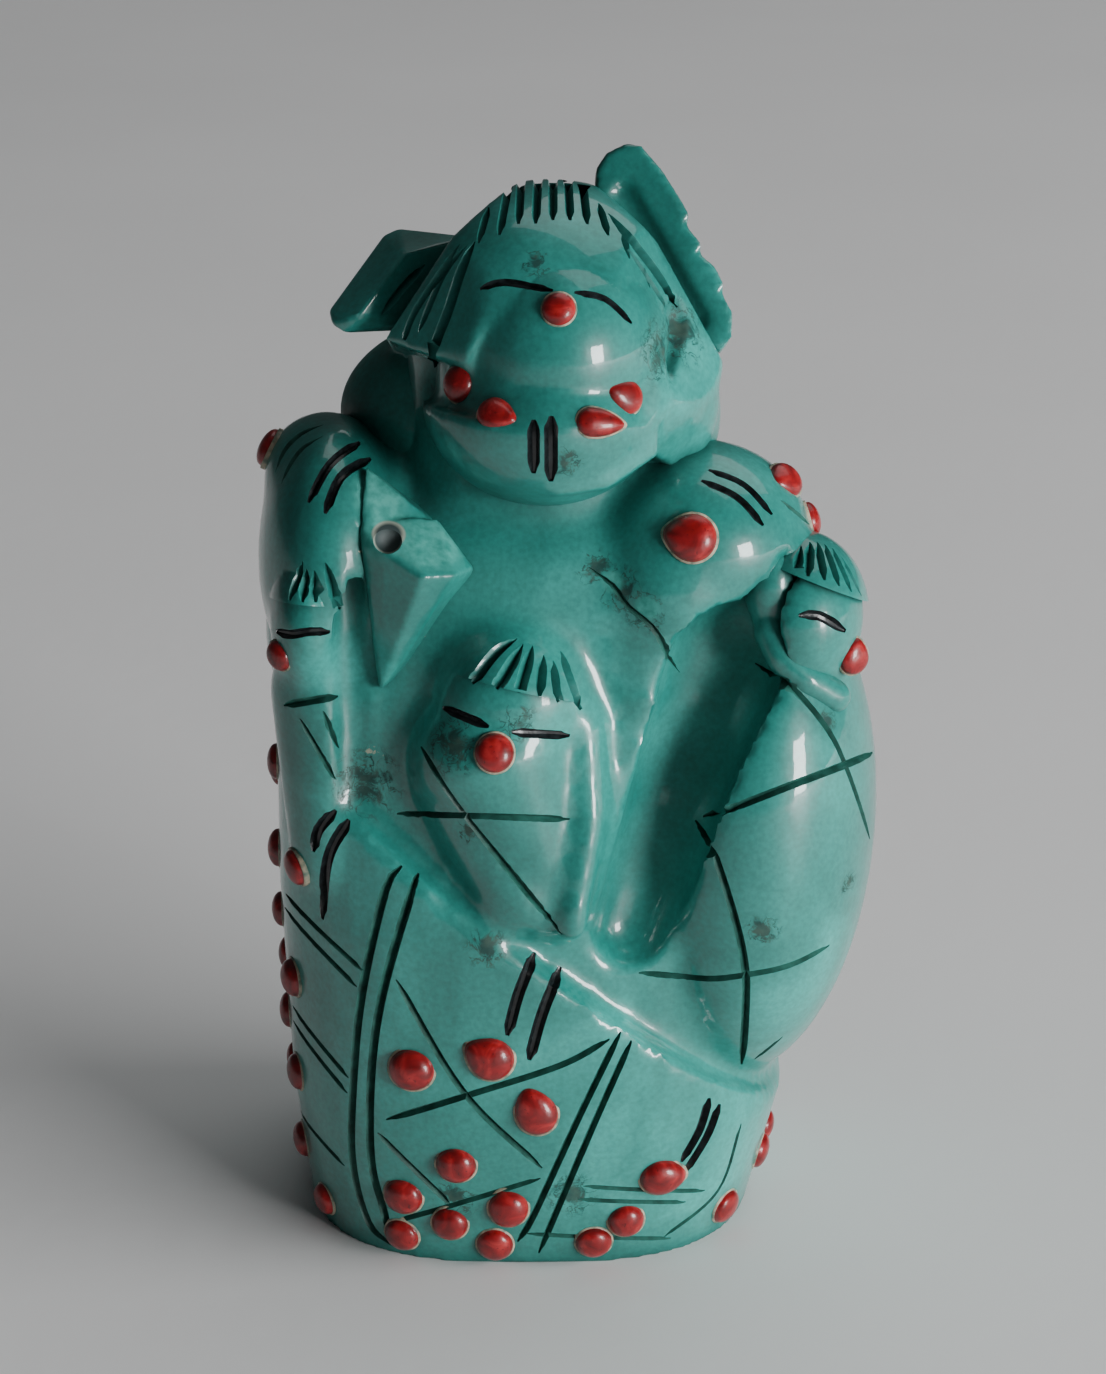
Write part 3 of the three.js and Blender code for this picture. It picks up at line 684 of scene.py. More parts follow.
# Each cut is its route in the front drawing, its width and depth, and its ends where they aren't usual

# The cuts of the fringe, from its tops to its ends
BANG_TOPS = ((-3.4, 25.3), (-2.4, 26.3), (-1.7, 26.9), (-0.8, 27.0), (0, 27.0), (0.8, 26.9), (1.6, 26.4))
BANG_ENDS = ((-3.9, 23.2), (-2.8, 23.6), (-1.8, 24.2), (-0.9, 24.2), (0, 24.4), (0.9, 24.4), (1.8, 24.2))

# The fringe, and the strands at its sides
HAIR_CUTS = (
    *(((top, end), 0.48, 0.6, (0.0, 0.1)) for top, end in zip(BANG_TOPS[1:], BANG_ENDS[1:])),
    ((BANG_TOPS[0], BANG_ENDS[0]), 0.45, 0.5, (0.15, 0.1)),
    (((2.4, 25.5), (2.9, 23.6)), 0.45, 0.5, (0.15, 0.1)),
    (((3.6, 23.9), (4.0, 22.4)), 0.4, 0.4, (0.2, 0.1)),
    (((4.8, 22.0), (5.1, 21.0)), 0.32, 0.3),
    (((-4.1, 23.3), (-4.8, 21.8), (-5.5, 19.7), (-6.0, 18.5), (-6.4, 17.3)), 0.8, 1.0, (0.3, 0.05)),
    (((-4.5, 23.1), (-5.7, 21.8), (-6.6, 19.9), (-7.1, 18.7)), 0.5, 0.55, (0.4, 0.3)),
    (((-4.9, 23.2), (-6.3, 21.3), (-7.4, 19.7), (-7.9, 18.4)), 0.5, 0.6, (0.3, 0.05)),
    (((-6.9, 22.8), (-8.0, 21.6), (-9.2, 20.0)), 0.5, 0.4, (0.3, 0.3)),
    (((2.9, 24.9), (4.3, 23.2), (5.5, 21.8), (6.6, 20.2)), 0.7, 0.9, (0.3, 0.2)),
    (((3.7, 23.2), (5.0, 21.5), (6.2, 19.7)), 0.35, 0.25, (0.4, 0.3)),
)

# The fans of cuts on the babies' caps
CAP_CUTS = (
    (((-1.9, 2.6), (-3.0, 1.9), (-4.3, 0.2)), 0.75, 0.55, (0.5, 0.1)),
    (((-1.6, 2.3), (-3.0, -0.1)), 0.75, 0.55, (0.5, 0.1)),
    (((-1.1, 2.2), (-1.8, -0.3)), 0.7, 0.55, (0.4, 0.1)),
    (((-0.5, 1.7), (-0.7, -0.5)), 0.6, 0.5, (0.4, 0.1)),
    (((0.0, 1.4), (0.3, -0.8)), 0.6, 0.5, (0.4, 0.1)),
    (((0.4, 1.9), (1.5, -1.2)), 0.7, 0.55, (0.4, 0.1)),
    (((-13.3, 6.7), (-14.0, 4.6)), 0.55, 0.45, (0.4, 0.1)),
    (((-13.1, 6.3), (-13.3, 4.5)), 0.55, 0.45, (0.4, 0.1)),
    (((-12.7, 6.2), (-12.6, 4.5)), 0.55, 0.45, (0.4, 0.1)),
    (((-12.1, 6.6), (-11.4, 4.2)), 0.6, 0.5, (0.4, 0.1)),
    (((13.3, 7.6), (12.9, 5.9)), 0.5, 0.4, (0.3, 0.1)),
    (((13.8, 7.8), (13.6, 5.9)), 0.6, 0.45, (0.3, 0.1)),
    (((14.2, 7.8), (14.5, 5.7)), 0.5, 0.4, (0.3, 0.1)),
    (((14.6, 7.7), (15.3, 5.4)), 0.45, 0.35, (0.3, 0.1)),
    (((15.0, 7.5), (16.0, 5.1)), 0.4, 0.3, (0.3, 0.1)),
    (((15.5, 7.0), (16.6, 4.9)), 0.32, 0.25, (0.3, 0.1)),
)

# Folds of the dress, and the shoulder's ridges
DRESS_CUTS = (
    (((1.9, 6.4), (3.2, 5.4), (4.0, 4.3), (5.3, 3.2), (6.1, 1.9), (6.9, 0.8)), 0.35, 0.25, (0.3, 0.3)),
    (((-8.5, -6.9), (-3.9, -6.9), (0.9, -7.1)), 0.4, 0.35),
    (((-7.1, -3.2), (-4.7, -6.9), (0.5, -13.4)), 0.4, 0.35),
    (((-14.6, -1.0), (-11.6, -0.5)), 0.45, 0.4),
    (((-13.7, -1.7), (-11.8, -5.0)), 0.3, 0.25),
    (((-12.4, -1.3), (-11.6, -3.3)), 0.3, 0.25),
    (((8.2, -7.1), (12.7, -5.3), (17.6, -3.6)), 0.45, 0.4),
    (((11.0, 1.3), (13.0, -0.2), (14.8, -2.3), (15.9, -4.4), (17.5, -8.4)), 0.35, 0.3),
    (((7.8, -7.3), (8.7, -9.0), (9.9, -12.7), (10.5, -15.4), (10.6, -17.6), (10.6, -21.2)), 0.45, 0.4),
    (((4.7, -15.7), (8.3, -16.0), (10.7, -15.7), (13.0, -15.2), (15.2, -14.2)), 0.4, 0.35),
    (((11.3, -20.9), (12.8, -19.5)), 0.3, 0.25),
    (((12.2, 10.0), (13.9, 8.8)), 0.3, 0.25),
    (((-12.4, 14.2), (-13.6, 13.7), (-14.5, 12.8), (-15.0, 11.6)), 0.45, 0.25, (0.4, 0.4)),
    (((-12.4, 13.5), (-13.4, 12.9), (-14.1, 12.0), (-14.6, 10.9)), 0.45, 0.25, (0.4, 0.4)),
)

# The two lines of the band that runs down the left of the blanket's front
BAND_LINES = (
    (
        (-8.2, -9.7),
        (-9.1, -11.0),
        (-10.5, -16.8),
        (-11.1, -21.8),
        (-11.3, -26.7),
        (-10.5, -30.4),
        (-9.2, -31.7),
    ),
    (
        (-7.3, -10.1),
        (-7.7, -11.2),
        (-9.4, -17.0),
        (-10.1, -21.7),
        (-10.2, -26.6),
        (-9.6, -29.5),
        (-9.2, -31.5),
    ),
)
BLANKET_CUTS = (
    *((line, 0.55, 0.5) for line in BAND_LINES),
    (((3.7, -18.9), (1.3, -24.1), (-1.1, -29.7), (-2.0, -31.3)), 0.4, 0.4),
    (((4.3, -19.4), (1.9, -25.1), (-0.8, -32.0)), 0.4, 0.4),
    (((-8.6, -16.0), (-4.9, -22.4), (-0.6, -26.8)), 0.4, 0.35),
    (((-9.3, -24.1), (-4.6, -22.5), (0.4, -20.8), (3.1, -19.3)), 0.4, 0.35),
    (((-9.8, -24.9), (-5.7, -29.1)), 0.4, 0.35),
    (((-8.9, -30.2), (-0.7, -27.4)), 0.35, 0.3),
    (((-15.0, -11.6), (-10.4, -15.6)), 0.35, 0.3),
    (((-15.1, -12.4), (-10.8, -16.5)), 0.35, 0.3),
    (((-14.8, -18.1), (-11.4, -21.8)), 0.35, 0.3),
    (((-14.8, -19.0), (-11.5, -22.7)), 0.35, 0.3),
    (((-14.6, -24.5), (-11.8, -27.1)), 0.35, 0.3),
    (((1.7, -27.9), (8.6, -28.5)), 0.3, 0.25),
    (((1.4, -28.7), (7.5, -29.1)), 0.3, 0.25),
    (((-1.5, -30.8), (6.7, -31.3)), 0.3, 0.25),
    (((10.6, -24.6), (9.4, -28.6), (6.3, -31.2)), 0.3, 0.25),
)

# Eyes and paired marks, filled with black
BLACK_STROKES = (
    (((-3.8, 20.7), (-2.5, 21.0), (0.0, 20.5)), 0.34, 0.3),
    (((1.1, 20.4), (2.7, 20.1), (4.1, 18.9)), 0.34, 0.3),
    (((-1.0, 13.8), (-1.0, 11.1)), 0.55, 0.4),
    (((-0.1, 14.0), (-0.1, 10.7)), 0.6, 0.4),
    (((-10.4, 13.2), (-11.9, 11.9), (-13.0, 9.8)), 0.45, 0.35),
    (((-9.8, 12.3), (-11.3, 11.2), (-12.1, 9.2)), 0.45, 0.35),
    (((8.3, 11.6), (10.2, 10.8), (11.7, 9.2)), 0.38, 0.3),
    (((7.9, 11.0), (9.8, 10.1), (11.2, 8.6)), 0.38, 0.3),
    (((-11.8, -6.7), (-12.8, -7.8), (-13.1, -9.0)), 0.55, 0.4),
    (((-11.1, -7.2), (-12.3, -9.4), (-12.7, -12.8)), 0.55, 0.4),
    (((-1.0, -14.5), (-1.9, -16.8), (-2.5, -19.1)), 0.55, 0.4),
    (((0.4, -15.3), (-0.6, -17.9), (-1.3, -20.5)), 0.55, 0.4),
    (((8.7, -22.9), (8.2, -24.7), (7.2, -26.6)), 0.5, 0.4),
    (((9.3, -23.3), (8.6, -25.2), (7.4, -27.3)), 0.5, 0.4),
    (((-5.9, -1.1), (-3.4, -2.1)), 0.42, 0.35),
    (((-2.2, -2.4), (0.9, -2.6)), 0.42, 0.35),
    (((-14.9, 3.0), (-14.1, 2.8), (-12.9, 2.95), (-11.9, 2.95)), 0.42, 0.3),
    (((13.1, 3.8), (14.2, 3.8), (15.7, 3.0)), 0.45, 0.3),
)


def engraved(stone, drawing, groove, stroke):
    """The stone with every knife cut made in it at once."""
    knives = bpy.data.collections.new("knives")
    bpy.context.scene.collection.children.link(knives)
    tools = [
        knife(drawing.front, points, width, depth, material, nose, *ends)
        for cuts, material, nose in (
            (HAIR_CUTS + CAP_CUTS, stone.data.materials[0], POINTED),
            (DRESS_CUTS + BLANKET_CUTS, groove, POINTED),
            (BLACK_STROKES, stroke, ROUND),
        )
        for points, width, depth, *ends in cuts
    ]
    for tool in tools:
        knives.objects.link(tool)
    finished(
        stone,
        "BOOLEAN",
        operation="DIFFERENCE",
        solver="MANIFOLD",
        operand_type="COLLECTION",
        collection=knives,
        material_mode="TRANSFER",
    )
    for tool in tools:
        bpy.data.objects.remove(tool)
    bpy.data.collections.remove(knives)
    return stone


# Coral dots

# A dot with a radius of 1: how high its dome is, and how far the dome's foot is above the stone
DOME = 0.54
FOOT = 0.1
# Its rim and its collar of glue: how far each goes down, and how much wider it is than what is above
SKIRT = ((0.05, 1.03), (0.02, 1.09))
# How far its stem goes down from there, and the level under which it is glue
STEM = 0.75
GLUE_LEVEL = 0.04


def bead(coral, glue):
    """A polished coral dome on a short stem, with a thin collar of pale glue round it."""
    only()
    bpy.ops.mesh.primitive_uv_sphere_add(segments=32, ring_count=16, radius=1)
    dome = bpy.context.object
    sliced(dome, (0, 0, 0), (0, 0, -1))
    pick(dome, lambda face: face.normal.z < -0.9)
    bpy.ops.mesh.delete(type="FACE")
    pick(dome, lambda vertex: True, "VERT")
    bpy.ops.transform.resize(value=(1, 1, DOME), center_override=(0, 0, 0))
    bpy.ops.transform.translate(value=(0, 0, FOOT))
    pick(dome, lambda edge: edge.is_boundary, "EDGE")
    for down, wider in SKIRT:
        bpy.ops.mesh.extrude_region_move(TRANSFORM_OT_translate={"value": (0, 0, -down)})
        bpy.ops.transform.resize(value=(wider, wider, 1))
    bpy.ops.mesh.extrude_region_move(TRANSFORM_OT_translate={"value": (0, 0, -STEM)})
    bpy.ops.mesh.edge_face_add()
    only(dome)
    dome.data.materials.append(coral)
    dome.data.materials.append(glue)
    for face in dome.data.polygons:
        low = min(dome.data.vertices[v].co.z for v in face.vertices)
        face.material_index = 1 if low < GLUE_LEVEL else 0
    return dome


# Each dot: its name, its view and place there, its width, and its length and angle where it is long
CORALS = (
    ("mouth", "front", 0.3, 19.5, 1.7),
    ("necklace_1", "front", -4.9, 15.9, 1.9),
    ("necklace_2", "front", -3.1, 14.2, 1.7, 2.3, -10),
    ("necklace_3", "front", 2.0, 13.7, 1.6, 2.5, -10),
    ("necklace_4", "front", 3.9, 15.1, 1.7, 2.3, 150),
    ("left_arm", "side", -80, 45.2, 2.1),
    ("right_arm_1", "front", 7.4, 7.9, 2.5, 2.8, 170),
    ("right_arm_2", "front", 12.6, 11.2, 2.0, 2.4, 170),
    ("right_arm_3", "side", 71, 41.8, 2.0),
    ("left_baby_mouth", "front", -14.7, 1.7, 1.7),
    ("middle_baby_mouth", "front", -3.1, -3.5, 2.0),
    ("right_baby_mouth", "front", 16.1, 1.6, 1.7, 2.0, 80),
    ("flank_1", "side", -80, 26.6, 2.0),
    ("flank_2", "side", -93, 24.6, 2.0),
    ("flank_3", "side", -55, 23.3, 2.1),
    ("flank_4", "side", -82, 21.0, 2.1),
    ("flank_5", "side", -95, 19.2, 2.0),
    ("flank_6", "side", -80, 17.4, 2.0),
    ("flank_7", "side", -62, 15.5, 2.2),
    ("flank_8", "side", -89, 13.4, 2.0),
    ("flank_9", "side", -78, 11.2, 2.0),
    ("flank_10", "side", -64, 9.2, 2.1),
    ("flank_11", "side", -84, 7.2, 2.0),
    ("flank_12", "side", -69, 4.0, 2.1),
    ("hem_1", "side", -57, 1.7, 1.9),
    ("hem_2", "side", -35, 1.5, 2.0),
    ("hem_3", "side", -14, 1.4, 2.0),
    ("hem_4", "side", 10, 1.5, 2.0),
    ("hem_5", "side", 46, 1.8, 2.0),
    ("hem_6", "side", 64, 3.4, 2.0),
    ("hem_7", "side", 76, 3.6, 1.9),
    ("front_1", "front", -7.8, -21.1, 2.5),
    ("front_2", "front", -3.4, -20.4, 2.5, 2.8, 150),
    ("front_3", "front", -0.9, -23.6, 2.4, 2.9, 110),
    ("front_4", "front", -5.4, -26.6, 2.2),
    ("front_5", "front", -8.4, -28.6, 2.2),
    ("front_6", "front", -2.5, -29.2, 2.2),
    ("front_7", "front", -5.8, -30.2, 2.0),
    ("front_8", "front", 4.1, -30.0, 2.0),
    ("front_9", "front", 6.0, -27.4, 2.3, 2.6, 0),
    ("back_1", "side", -112, 22.0, 2.1),
    ("back_2", "side", -128, 13.0, 2.1),
    ("back_3", "side", -145, 24.0, 2.1),
    ("back_4", "side", -152, 5.5, 2.1),
    ("back_5", "side", -172, 15.0, 2.1),
    ("back_6", "side", 162, 7.0, 2.1),
    ("back_7", "side", 140, 12.0, 2.1),
    ("back_8", "side", 118, 5.0, 2.1),
)


# How far a front dot turns from the stone's own slope toward the viewer, and the one that turns further
USUAL_TURN = 0.35
OWN_TURN = {"right_baby_mouth": 1.2}
# How far a dot is raised out of the stone
RAISED = {"right_baby_mouth": 0.3}
# How much a long dot narrows to its drawn-out end, and how uneven the dots' breadths and heights are
NARROWING = 0.3
UNEVEN_BREADTH = (0.95, 1.05)
UNEVEN_HEIGHT = (0.92, 1.1)


def to_metres(piece):
    piece.data.transform(Matrix.Scale(MM, 4))
    return piece


def drawn_out(dot, stretch):
    """One half of a dot made longer, and narrower to its end."""
    for vertex in dot.data.vertices:
        if vertex.co.x > 0:
            vertex.co.y *= 1 - NARROWING * vertex.co.x**2
            vertex.co.x *= stretch


def coral_dots(drawing, coral, glue):
    model = bead(coral, glue)
    chance = random.Random(5)
    for name, view, u, v, width, *shape in CORALS:
        length, angle = shape or (width, 0)
        point, normal = getattr(drawing, view)(u, v)
        if view == "front":
            normal = (normal - OWN_TURN.get(name, USUAL_TURN) * INTO).normalized()
        point = point + RAISED.get(name, 0) * normal
        dot = model.copy()
        dot.data = model.data.copy()
        dot.name = f"coral_dot_{name}"
        bpy.context.scene.collection.objects.link(dot)
        if length > width:
            drawn_out(dot, length * 2 / width - 1)
        level = Vector((0, 0, 1)).cross(normal).normalized()
        turned = Matrix((level, normal.cross(level), normal)).transposed().to_4x4()
        tilt = Matrix.Rotation(math.radians(angle), 4, "Z")
        radius = width / 2
        breadth = radius * chance.uniform(*UNEVEN_BREADTH)
        height = radius * chance.uniform(*UNEVEN_HEIGHT)
        size = Matrix.Diagonal((radius, breadth, height, 1))
        dot.data.transform(Matrix.Translation(point) @ turned @ tilt @ size)
        to_metres(dot)
        only(dot)
        bpy.ops.object.shade_smooth()
        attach(dot, "root")
        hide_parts(f"coral_{name}")
    bpy.data.objects.remove(model)


# Places of the front drawing where the stone differs, and how far each one reaches

# Dark matrix
MATRIX = (
    (-10.1, -5.2, 2.4),
    (0.6, 11.6, 1.2),
    (6.4, 18.8, 2.4),
    (5.6, 17.6, 2.2),
    (2.2, 6.4, 1.2),
    (3.6, 5.2, 1.5),
    (5.0, 4.0, 1.5),
    (-0.9, 22.0, 1.0),
    (-5.4, -3.2, 2.0),
    (-1.8, -1.9, 1.3),
    (-3.6, -14.2, 1.4),
    (-4.6, -7.8, 0.9),
    (11.4, -13.2, 1.2),
    (16.2, -10.8, 0.9),
    (-5.4, -28.6, 1.6),
    (1.0, -28.4, 1.8),
    (14.8, -1.8, 0.8),
    (-8.9, 7.6, 0.8),
)

# Pale crumbs left in breaks
CRUMBS = (
    (5.4, 3.0, 0.7),
    (6.3, 1.6, 0.7),
    (-9.9, -3.6, 1.3),
    (0.9, -13.9, 0.6),
    (-10.2, 7.2, 0.5),
    (-6.9, 2.6, 0.4),
)

# Fresh chalky stone in breaks
BROKEN = (
    (-9.2, 10.3, 1.8),
    (-8.6, 8.2, 1.9),
    (-6.5, 7.6, 2.2),
    (5.0, 4.2, 0.8),
    (3.2, 5.6, 0.7),
)

# Satin stone, where the polish did not reach: places with their own depth, and their reach
SATIN = (
    ((-1.5, 7.5, -12.5), 6.5),
    ((8.8, 1.5, -10.0), 3.6),
    ((7.4, -3.5, -8.5), 3.6),
    ((5.6, -9.0, -7.5), 3.6),
    ((-10.6, 1.0, -12.0), 3.0),
    ((-10.6, 6.5, -13.0), 1.8),
    ((-4.5, 19.0, -17.5), 2.2),
    ((6.6, 18.6, -14.8), 3.0),
    ((5.3, 15.7, -17.1), 1.6),
)

# Unpolished stone at the back of the head, under the hair and below the chin, in the same way; its colour is
# darkened, partly as dust and partly as painted shade under the hair
UNPOLISHED = (
    ((-9.5, 16.5, -4), 6.0),
    ((-3, 15, 5), 9.0),
    ((-1, 12.2, -9), 4.5),
    ((-6.8, 15.4, -13), 2.6),
)


def in_space(rows):
    """Places of the drawing that are given with their own depth, with their reach."""
    return [(drawn(*place), reach) for place, reach in rows]


# Materials

def as_colour(value):
    """A grey from a number, or a colour with its alpha; a socket stays as it is."""
    if isinstance(value, (int, float)):
        return (value, value, value, 1)
    return (*value, 1) if isinstance(value, tuple) else value


class Shading:
    """The nodes of one material, with short words for those that it is made of."""

    def __init__(self, name):
        self.material = bpy.data.materials.new(name)
        self.material.use_nodes = True
        self.nodes = self.material.node_tree.nodes
        self.links = self.material.node_tree.links
        self.surface = self.nodes["Principled BSDF"]
        self.place = self.nodes.new("ShaderNodeTexCoord").outputs["Object"]

    def put(self, socket, value):
        if isinstance(value, bpy.types.NodeSocket):
            self.links.new(value, socket)
        else:
            socket.default_value = value

    def give(self, name, value):
        """A value, or what another node puts out, given to the surface."""
        self.put(self.surface.inputs[name], value)

    def noise(self, size, detail=2, distortion=0.0, roughness=0.5):
        """Noise whose patches are about this many millimetres wide."""
        made = self.nodes.new("ShaderNodeTexNoise")
        self.put(made.inputs["Vector"], self.place)
        self.put(made.inputs["Scale"], 1 / (size * MM))
        self.put(made.inputs["Detail"], detail)
        self.put(made.inputs["Roughness"], roughness)
        self.put(made.inputs["Distortion"], distortion)
        return made.outputs["Fac"]

    def ramp(self, value, *stops):
        made = self.nodes.new("ShaderNodeValToRGB")
        self.put(made.inputs["Fac"], value)
        elements = made.color_ramp.elements
        while len(elements) < len(stops):
            elements.new(0.5)
        for element, (position, colour) in zip(elements, stops):
            element.position = position
            element.color = as_colour(colour)
        return made.outputs["Color"]

    def mix(self, share, first, second, how="MIX"):
        made = self.nodes.new("ShaderNodeMix")
        made.data_type = "RGBA"
        made.blend_type = how
        sockets = {socket.identifier: socket for socket in made.inputs}
        self.put(sockets["Factor_Float"], share)
        self.put(sockets["A_Color"], as_colour(first))
        self.put(sockets["B_Color"], as_colour(second))
        return {socket.identifier: socket for socket in made.outputs}["Result_Color"]

    def times(self, first, second):
        return self.mix(1.0, first, second, "MULTIPLY")

    def maths(self, how, first, second=0.0):
        made = self.nodes.new("ShaderNodeMath")
        made.operation = how
        self.put(made.inputs[0], first)
        self.put(made.inputs[1], second)
        return made.outputs["Value"]

    def spot(self, centre, reach):
        """1 at a place on the stone, in millimetres, falling to 0 at the end of its reach."""
        made = self.nodes.new("ShaderNodeVectorMath")
        made.operation = "DISTANCE"
        self.put(made.inputs[0], self.place)
        self.put(made.inputs[1], tuple(c * MM for c in centre))
        return self.maths("SUBTRACT", 1.0, self.maths("DIVIDE", made.outputs["Value"], reach * MM))

    def nearest_spot(self, spots):
        """The highest of what several spots give."""
        highest = None
        for centre, reach in spots:
            here = self.spot(centre, reach)
            highest = here if highest is None else self.maths("MAXIMUM", highest, here)
        return highest

    def patches(self, spots, share, most=1.0):
        """0 outside the spots, rising to the most over this share of their reach."""
        return self.ramp(self.nearest_spot(spots), (0.0, 0.0), (share, most))

    def recess(self, reach):
        """1 in the open, less the more of what surrounds a place is nearer than this many millimetres."""
        made = self.nodes.new("ShaderNodeAmbientOcclusion")
        made.samples = 8
        self.put(made.inputs["Distance"], reach * MM)
        return made.outputs["AO"]

    def bump(self, height, depth):
        """Small relief, this many millimetres deep."""
        made = self.nodes.new("ShaderNodeBump")
        self.put(made.inputs["Height"], height)
        self.put(made.inputs["Distance"], depth * MM)
        self.put(made.inputs["Strength"], 1.0)
        self.give("Normal", made.outputs["Normal"])


# Colours of the stone: its worn edges, and the crumbs in its breaks
WORN_PALE = (0.12, 0.4, 0.33)
CRUMB_PALE = (0.42, 0.4, 0.28)


def stone_colour_and_shade(shading):
    """Teal with soft green and blue clouds and a fine even grain, and painted shade that makes it a little
    darker toward the top.
    """
    clouds = shading.ramp(
        shading.noise(9, detail=3, distortion=0.8),
        (0.3, (0.012, 0.172, 0.145)),
        (0.5, (0.02, 0.238, 0.202)),
        (0.68, (0.036, 0.335, 0.29)),
    )
    grain = shading.ramp(shading.noise(0.3), (0.3, 0.84), (0.7, 1.1))
    # Painted shade: the colour darkens with height, from 16 to 66 mm up, as if less light reached the top.
    split = shading.nodes.new("ShaderNodeSeparateXYZ")
    shading.put(split.inputs[0], shading.place)
    drift = shading.maths("MULTIPLY", shading.noise(12), 0.02)
    height = shading.maths("ADD", split.outputs["Z"], drift)
    painted_shade_above = shading.ramp(height, (0.016, 1.0), (0.066, 0.76))
    return shading.times(shading.times(clouds, grain), painted_shade_above)


def matrix_share(shading, spots):
    """How much dark matrix there is: thin veins and blotches within reach of the spots."""
    spread = shading.nearest_spot(spots)
    reached = shading.ramp(spread, (0.0, 0.0), (0.35, 1.0))
    wander = shading.maths("SUBTRACT", shading.noise(1.1, detail=4, distortion=0.5, roughness=0.6), 0.5)
    veins = shading.ramp(shading.maths("ABSOLUTE", wander), (0.004, 0.8), (0.03, 0.0))
    thicker = shading.maths("MULTIPLY", spread, 0.36)
    blotches = shading.maths("ADD", shading.noise(0.9, detail=5, distortion=0.8, roughness=0.65), thicker)
    blotches = shading.ramp(blotches, (0.66, 0.0), (0.8, 0.8))
    return shading.maths("MAXIMUM", shading.times(veins, reached), shading.times(blotches, reached))


def with_crumbs(shading, colour, spots):
    """Pale crumbs scattered within reach of the spots."""
    thicker = shading.maths("MULTIPLY", shading.nearest_spot(spots), 0.35)
    crumbs = shading.maths("ADD", shading.noise(0.3, detail=3, distortion=0.4), thicker)
    return shading.mix(shading.ramp(crumbs, (0.84, 0.0), (0.92, 0.8)), colour, CRUMB_PALE)


def with_lost_glue(shading, colour, seat):
    """Grey glue in the seat of the lost dot, with a dark ring and a pale rim."""
    glue = shading.nearest_spot(seat)
    rings = shading.ramp(
        glue,
        (0.1, (0.3, 0.34, 0.28)),
        (0.28, (0.03, 0.05, 0.05)),
        (0.7, (0.08, 0.1, 0.1)),
    )
    return shading.mix(shading.ramp(glue, (0.0, 0.0), (0.1, 1.0)), colour, rings)


def turquoise_stone(matrix_spots, crumb_spots, broken_spots, lost_dot):
    """Polished turquoise, duller where it is broken, unpolished or sunk, or where matrix shows, with painted
    shade in its recesses, toward the top and on the unpolished places.
    """
    shading = Shading("turquoise_stone")
    edge = shading.nodes.new("ShaderNodeNewGeometry").outputs["Pointiness"]
    worn = shading.ramp(edge, (0.6, 0.0), (0.75, 0.25))
    colour = shading.mix(worn, stone_colour_and_shade(shading), WORN_PALE)
    open_to_light = shading.recess(2.2)
    # Painted shade: the colour is darkened in creases and recesses, where the occlusion node finds the stone
    # closed in.
    colour = shading.times(colour, shading.ramp(open_to_light, (0.2, 0.48), (0.9, 1.0)))
    matrix = matrix_share(shading, matrix_spots)
    dark = shading.ramp(shading.noise(0.7), (0.4, (0.006, 0.014, 0.012)), (0.7, (0.04, 0.05, 0.036)))
    colour = shading.mix(matrix, colour, dark)
    colour = with_crumbs(shading, colour, crumb_spots)
    broken = shading.patches(broken_spots, 0.4)
    chalky = shading.ramp(shading.noise(0.5, 4), (0.3, (0.02, 0.2, 0.165)), (0.65, (0.06, 0.33, 0.28)))
    colour = shading.mix(broken, colour, chalky)
    colour = with_lost_glue(shading, colour, lost_dot)
    unpolished_and_shaded = shading.patches(in_space(UNPOLISHED), 0.6)
    # Dust and painted shade: the unpolished places are darkened in colour as well as roughened.
    dusty_and_shaded = shading.times(colour, shading.ramp(shading.noise(0.45, 4), (0.3, 0.35), (0.7, 0.75)))
    shading.give("Base Color", shading.mix(unpolished_and_shaded, colour, dusty_and_shaded))
    satin = shading.patches(in_space(SATIN), 0.4, 0.8)
    dull = shading.ramp(open_to_light, (0.25, 1.0), (0.8, 0.0))
    for duller in (matrix, unpolished_and_shaded, satin, broken):
        dull = shading.maths("MAXIMUM", dull, duller)
    gloss = shading.ramp(shading.noise(2.5, 4), (0.3, 0.3), (0.7, 0.42))
    shading.give("Roughness", shading.mix(dull, gloss, 0.65))
    shading.give("Coat Weight", shading.ramp(dull, (0.0, 0.75), (0.7, 0.0)))
    shading.give("Coat Roughness", 0.05)
    shading.give("Coat IOR", 1.6)
    shading.bump(shading.noise(0.5, 3), 0.01)
    return shading.material


# Dirt and painted shade: the walls of the cuts are coloured dark teal, standing in also for the shade down
# in them.
def groove_dirt_and_shade():
    shading = Shading("groove_dirt_and_shade")
    colour = shading.ramp(shading.noise(0.8, 3), (0.35, (0.008, 0.055, 0.042)), (0.65, (0.022, 0.12, 0.095)))
    shading.give("Base Color", colour)
    shading.give("Roughness", 0.55)
    shading.bump(shading.noise(0.25), 0.02)
    return shading.material


def stroke_black():
    shading = Shading("stroke_black")
    colour = shading.ramp(shading.noise(0.4, 3), (0.4, (0.004, 0.005, 0.006)), (0.75, (0.02, 0.028, 0.03)))
    shading.give("Base Color", colour)
    shading.give("Roughness", 0.3)
    shading.give("Coat Weight", 0.3)
    shading.bump(shading.noise(0.2), 0.02)
    return shading.material


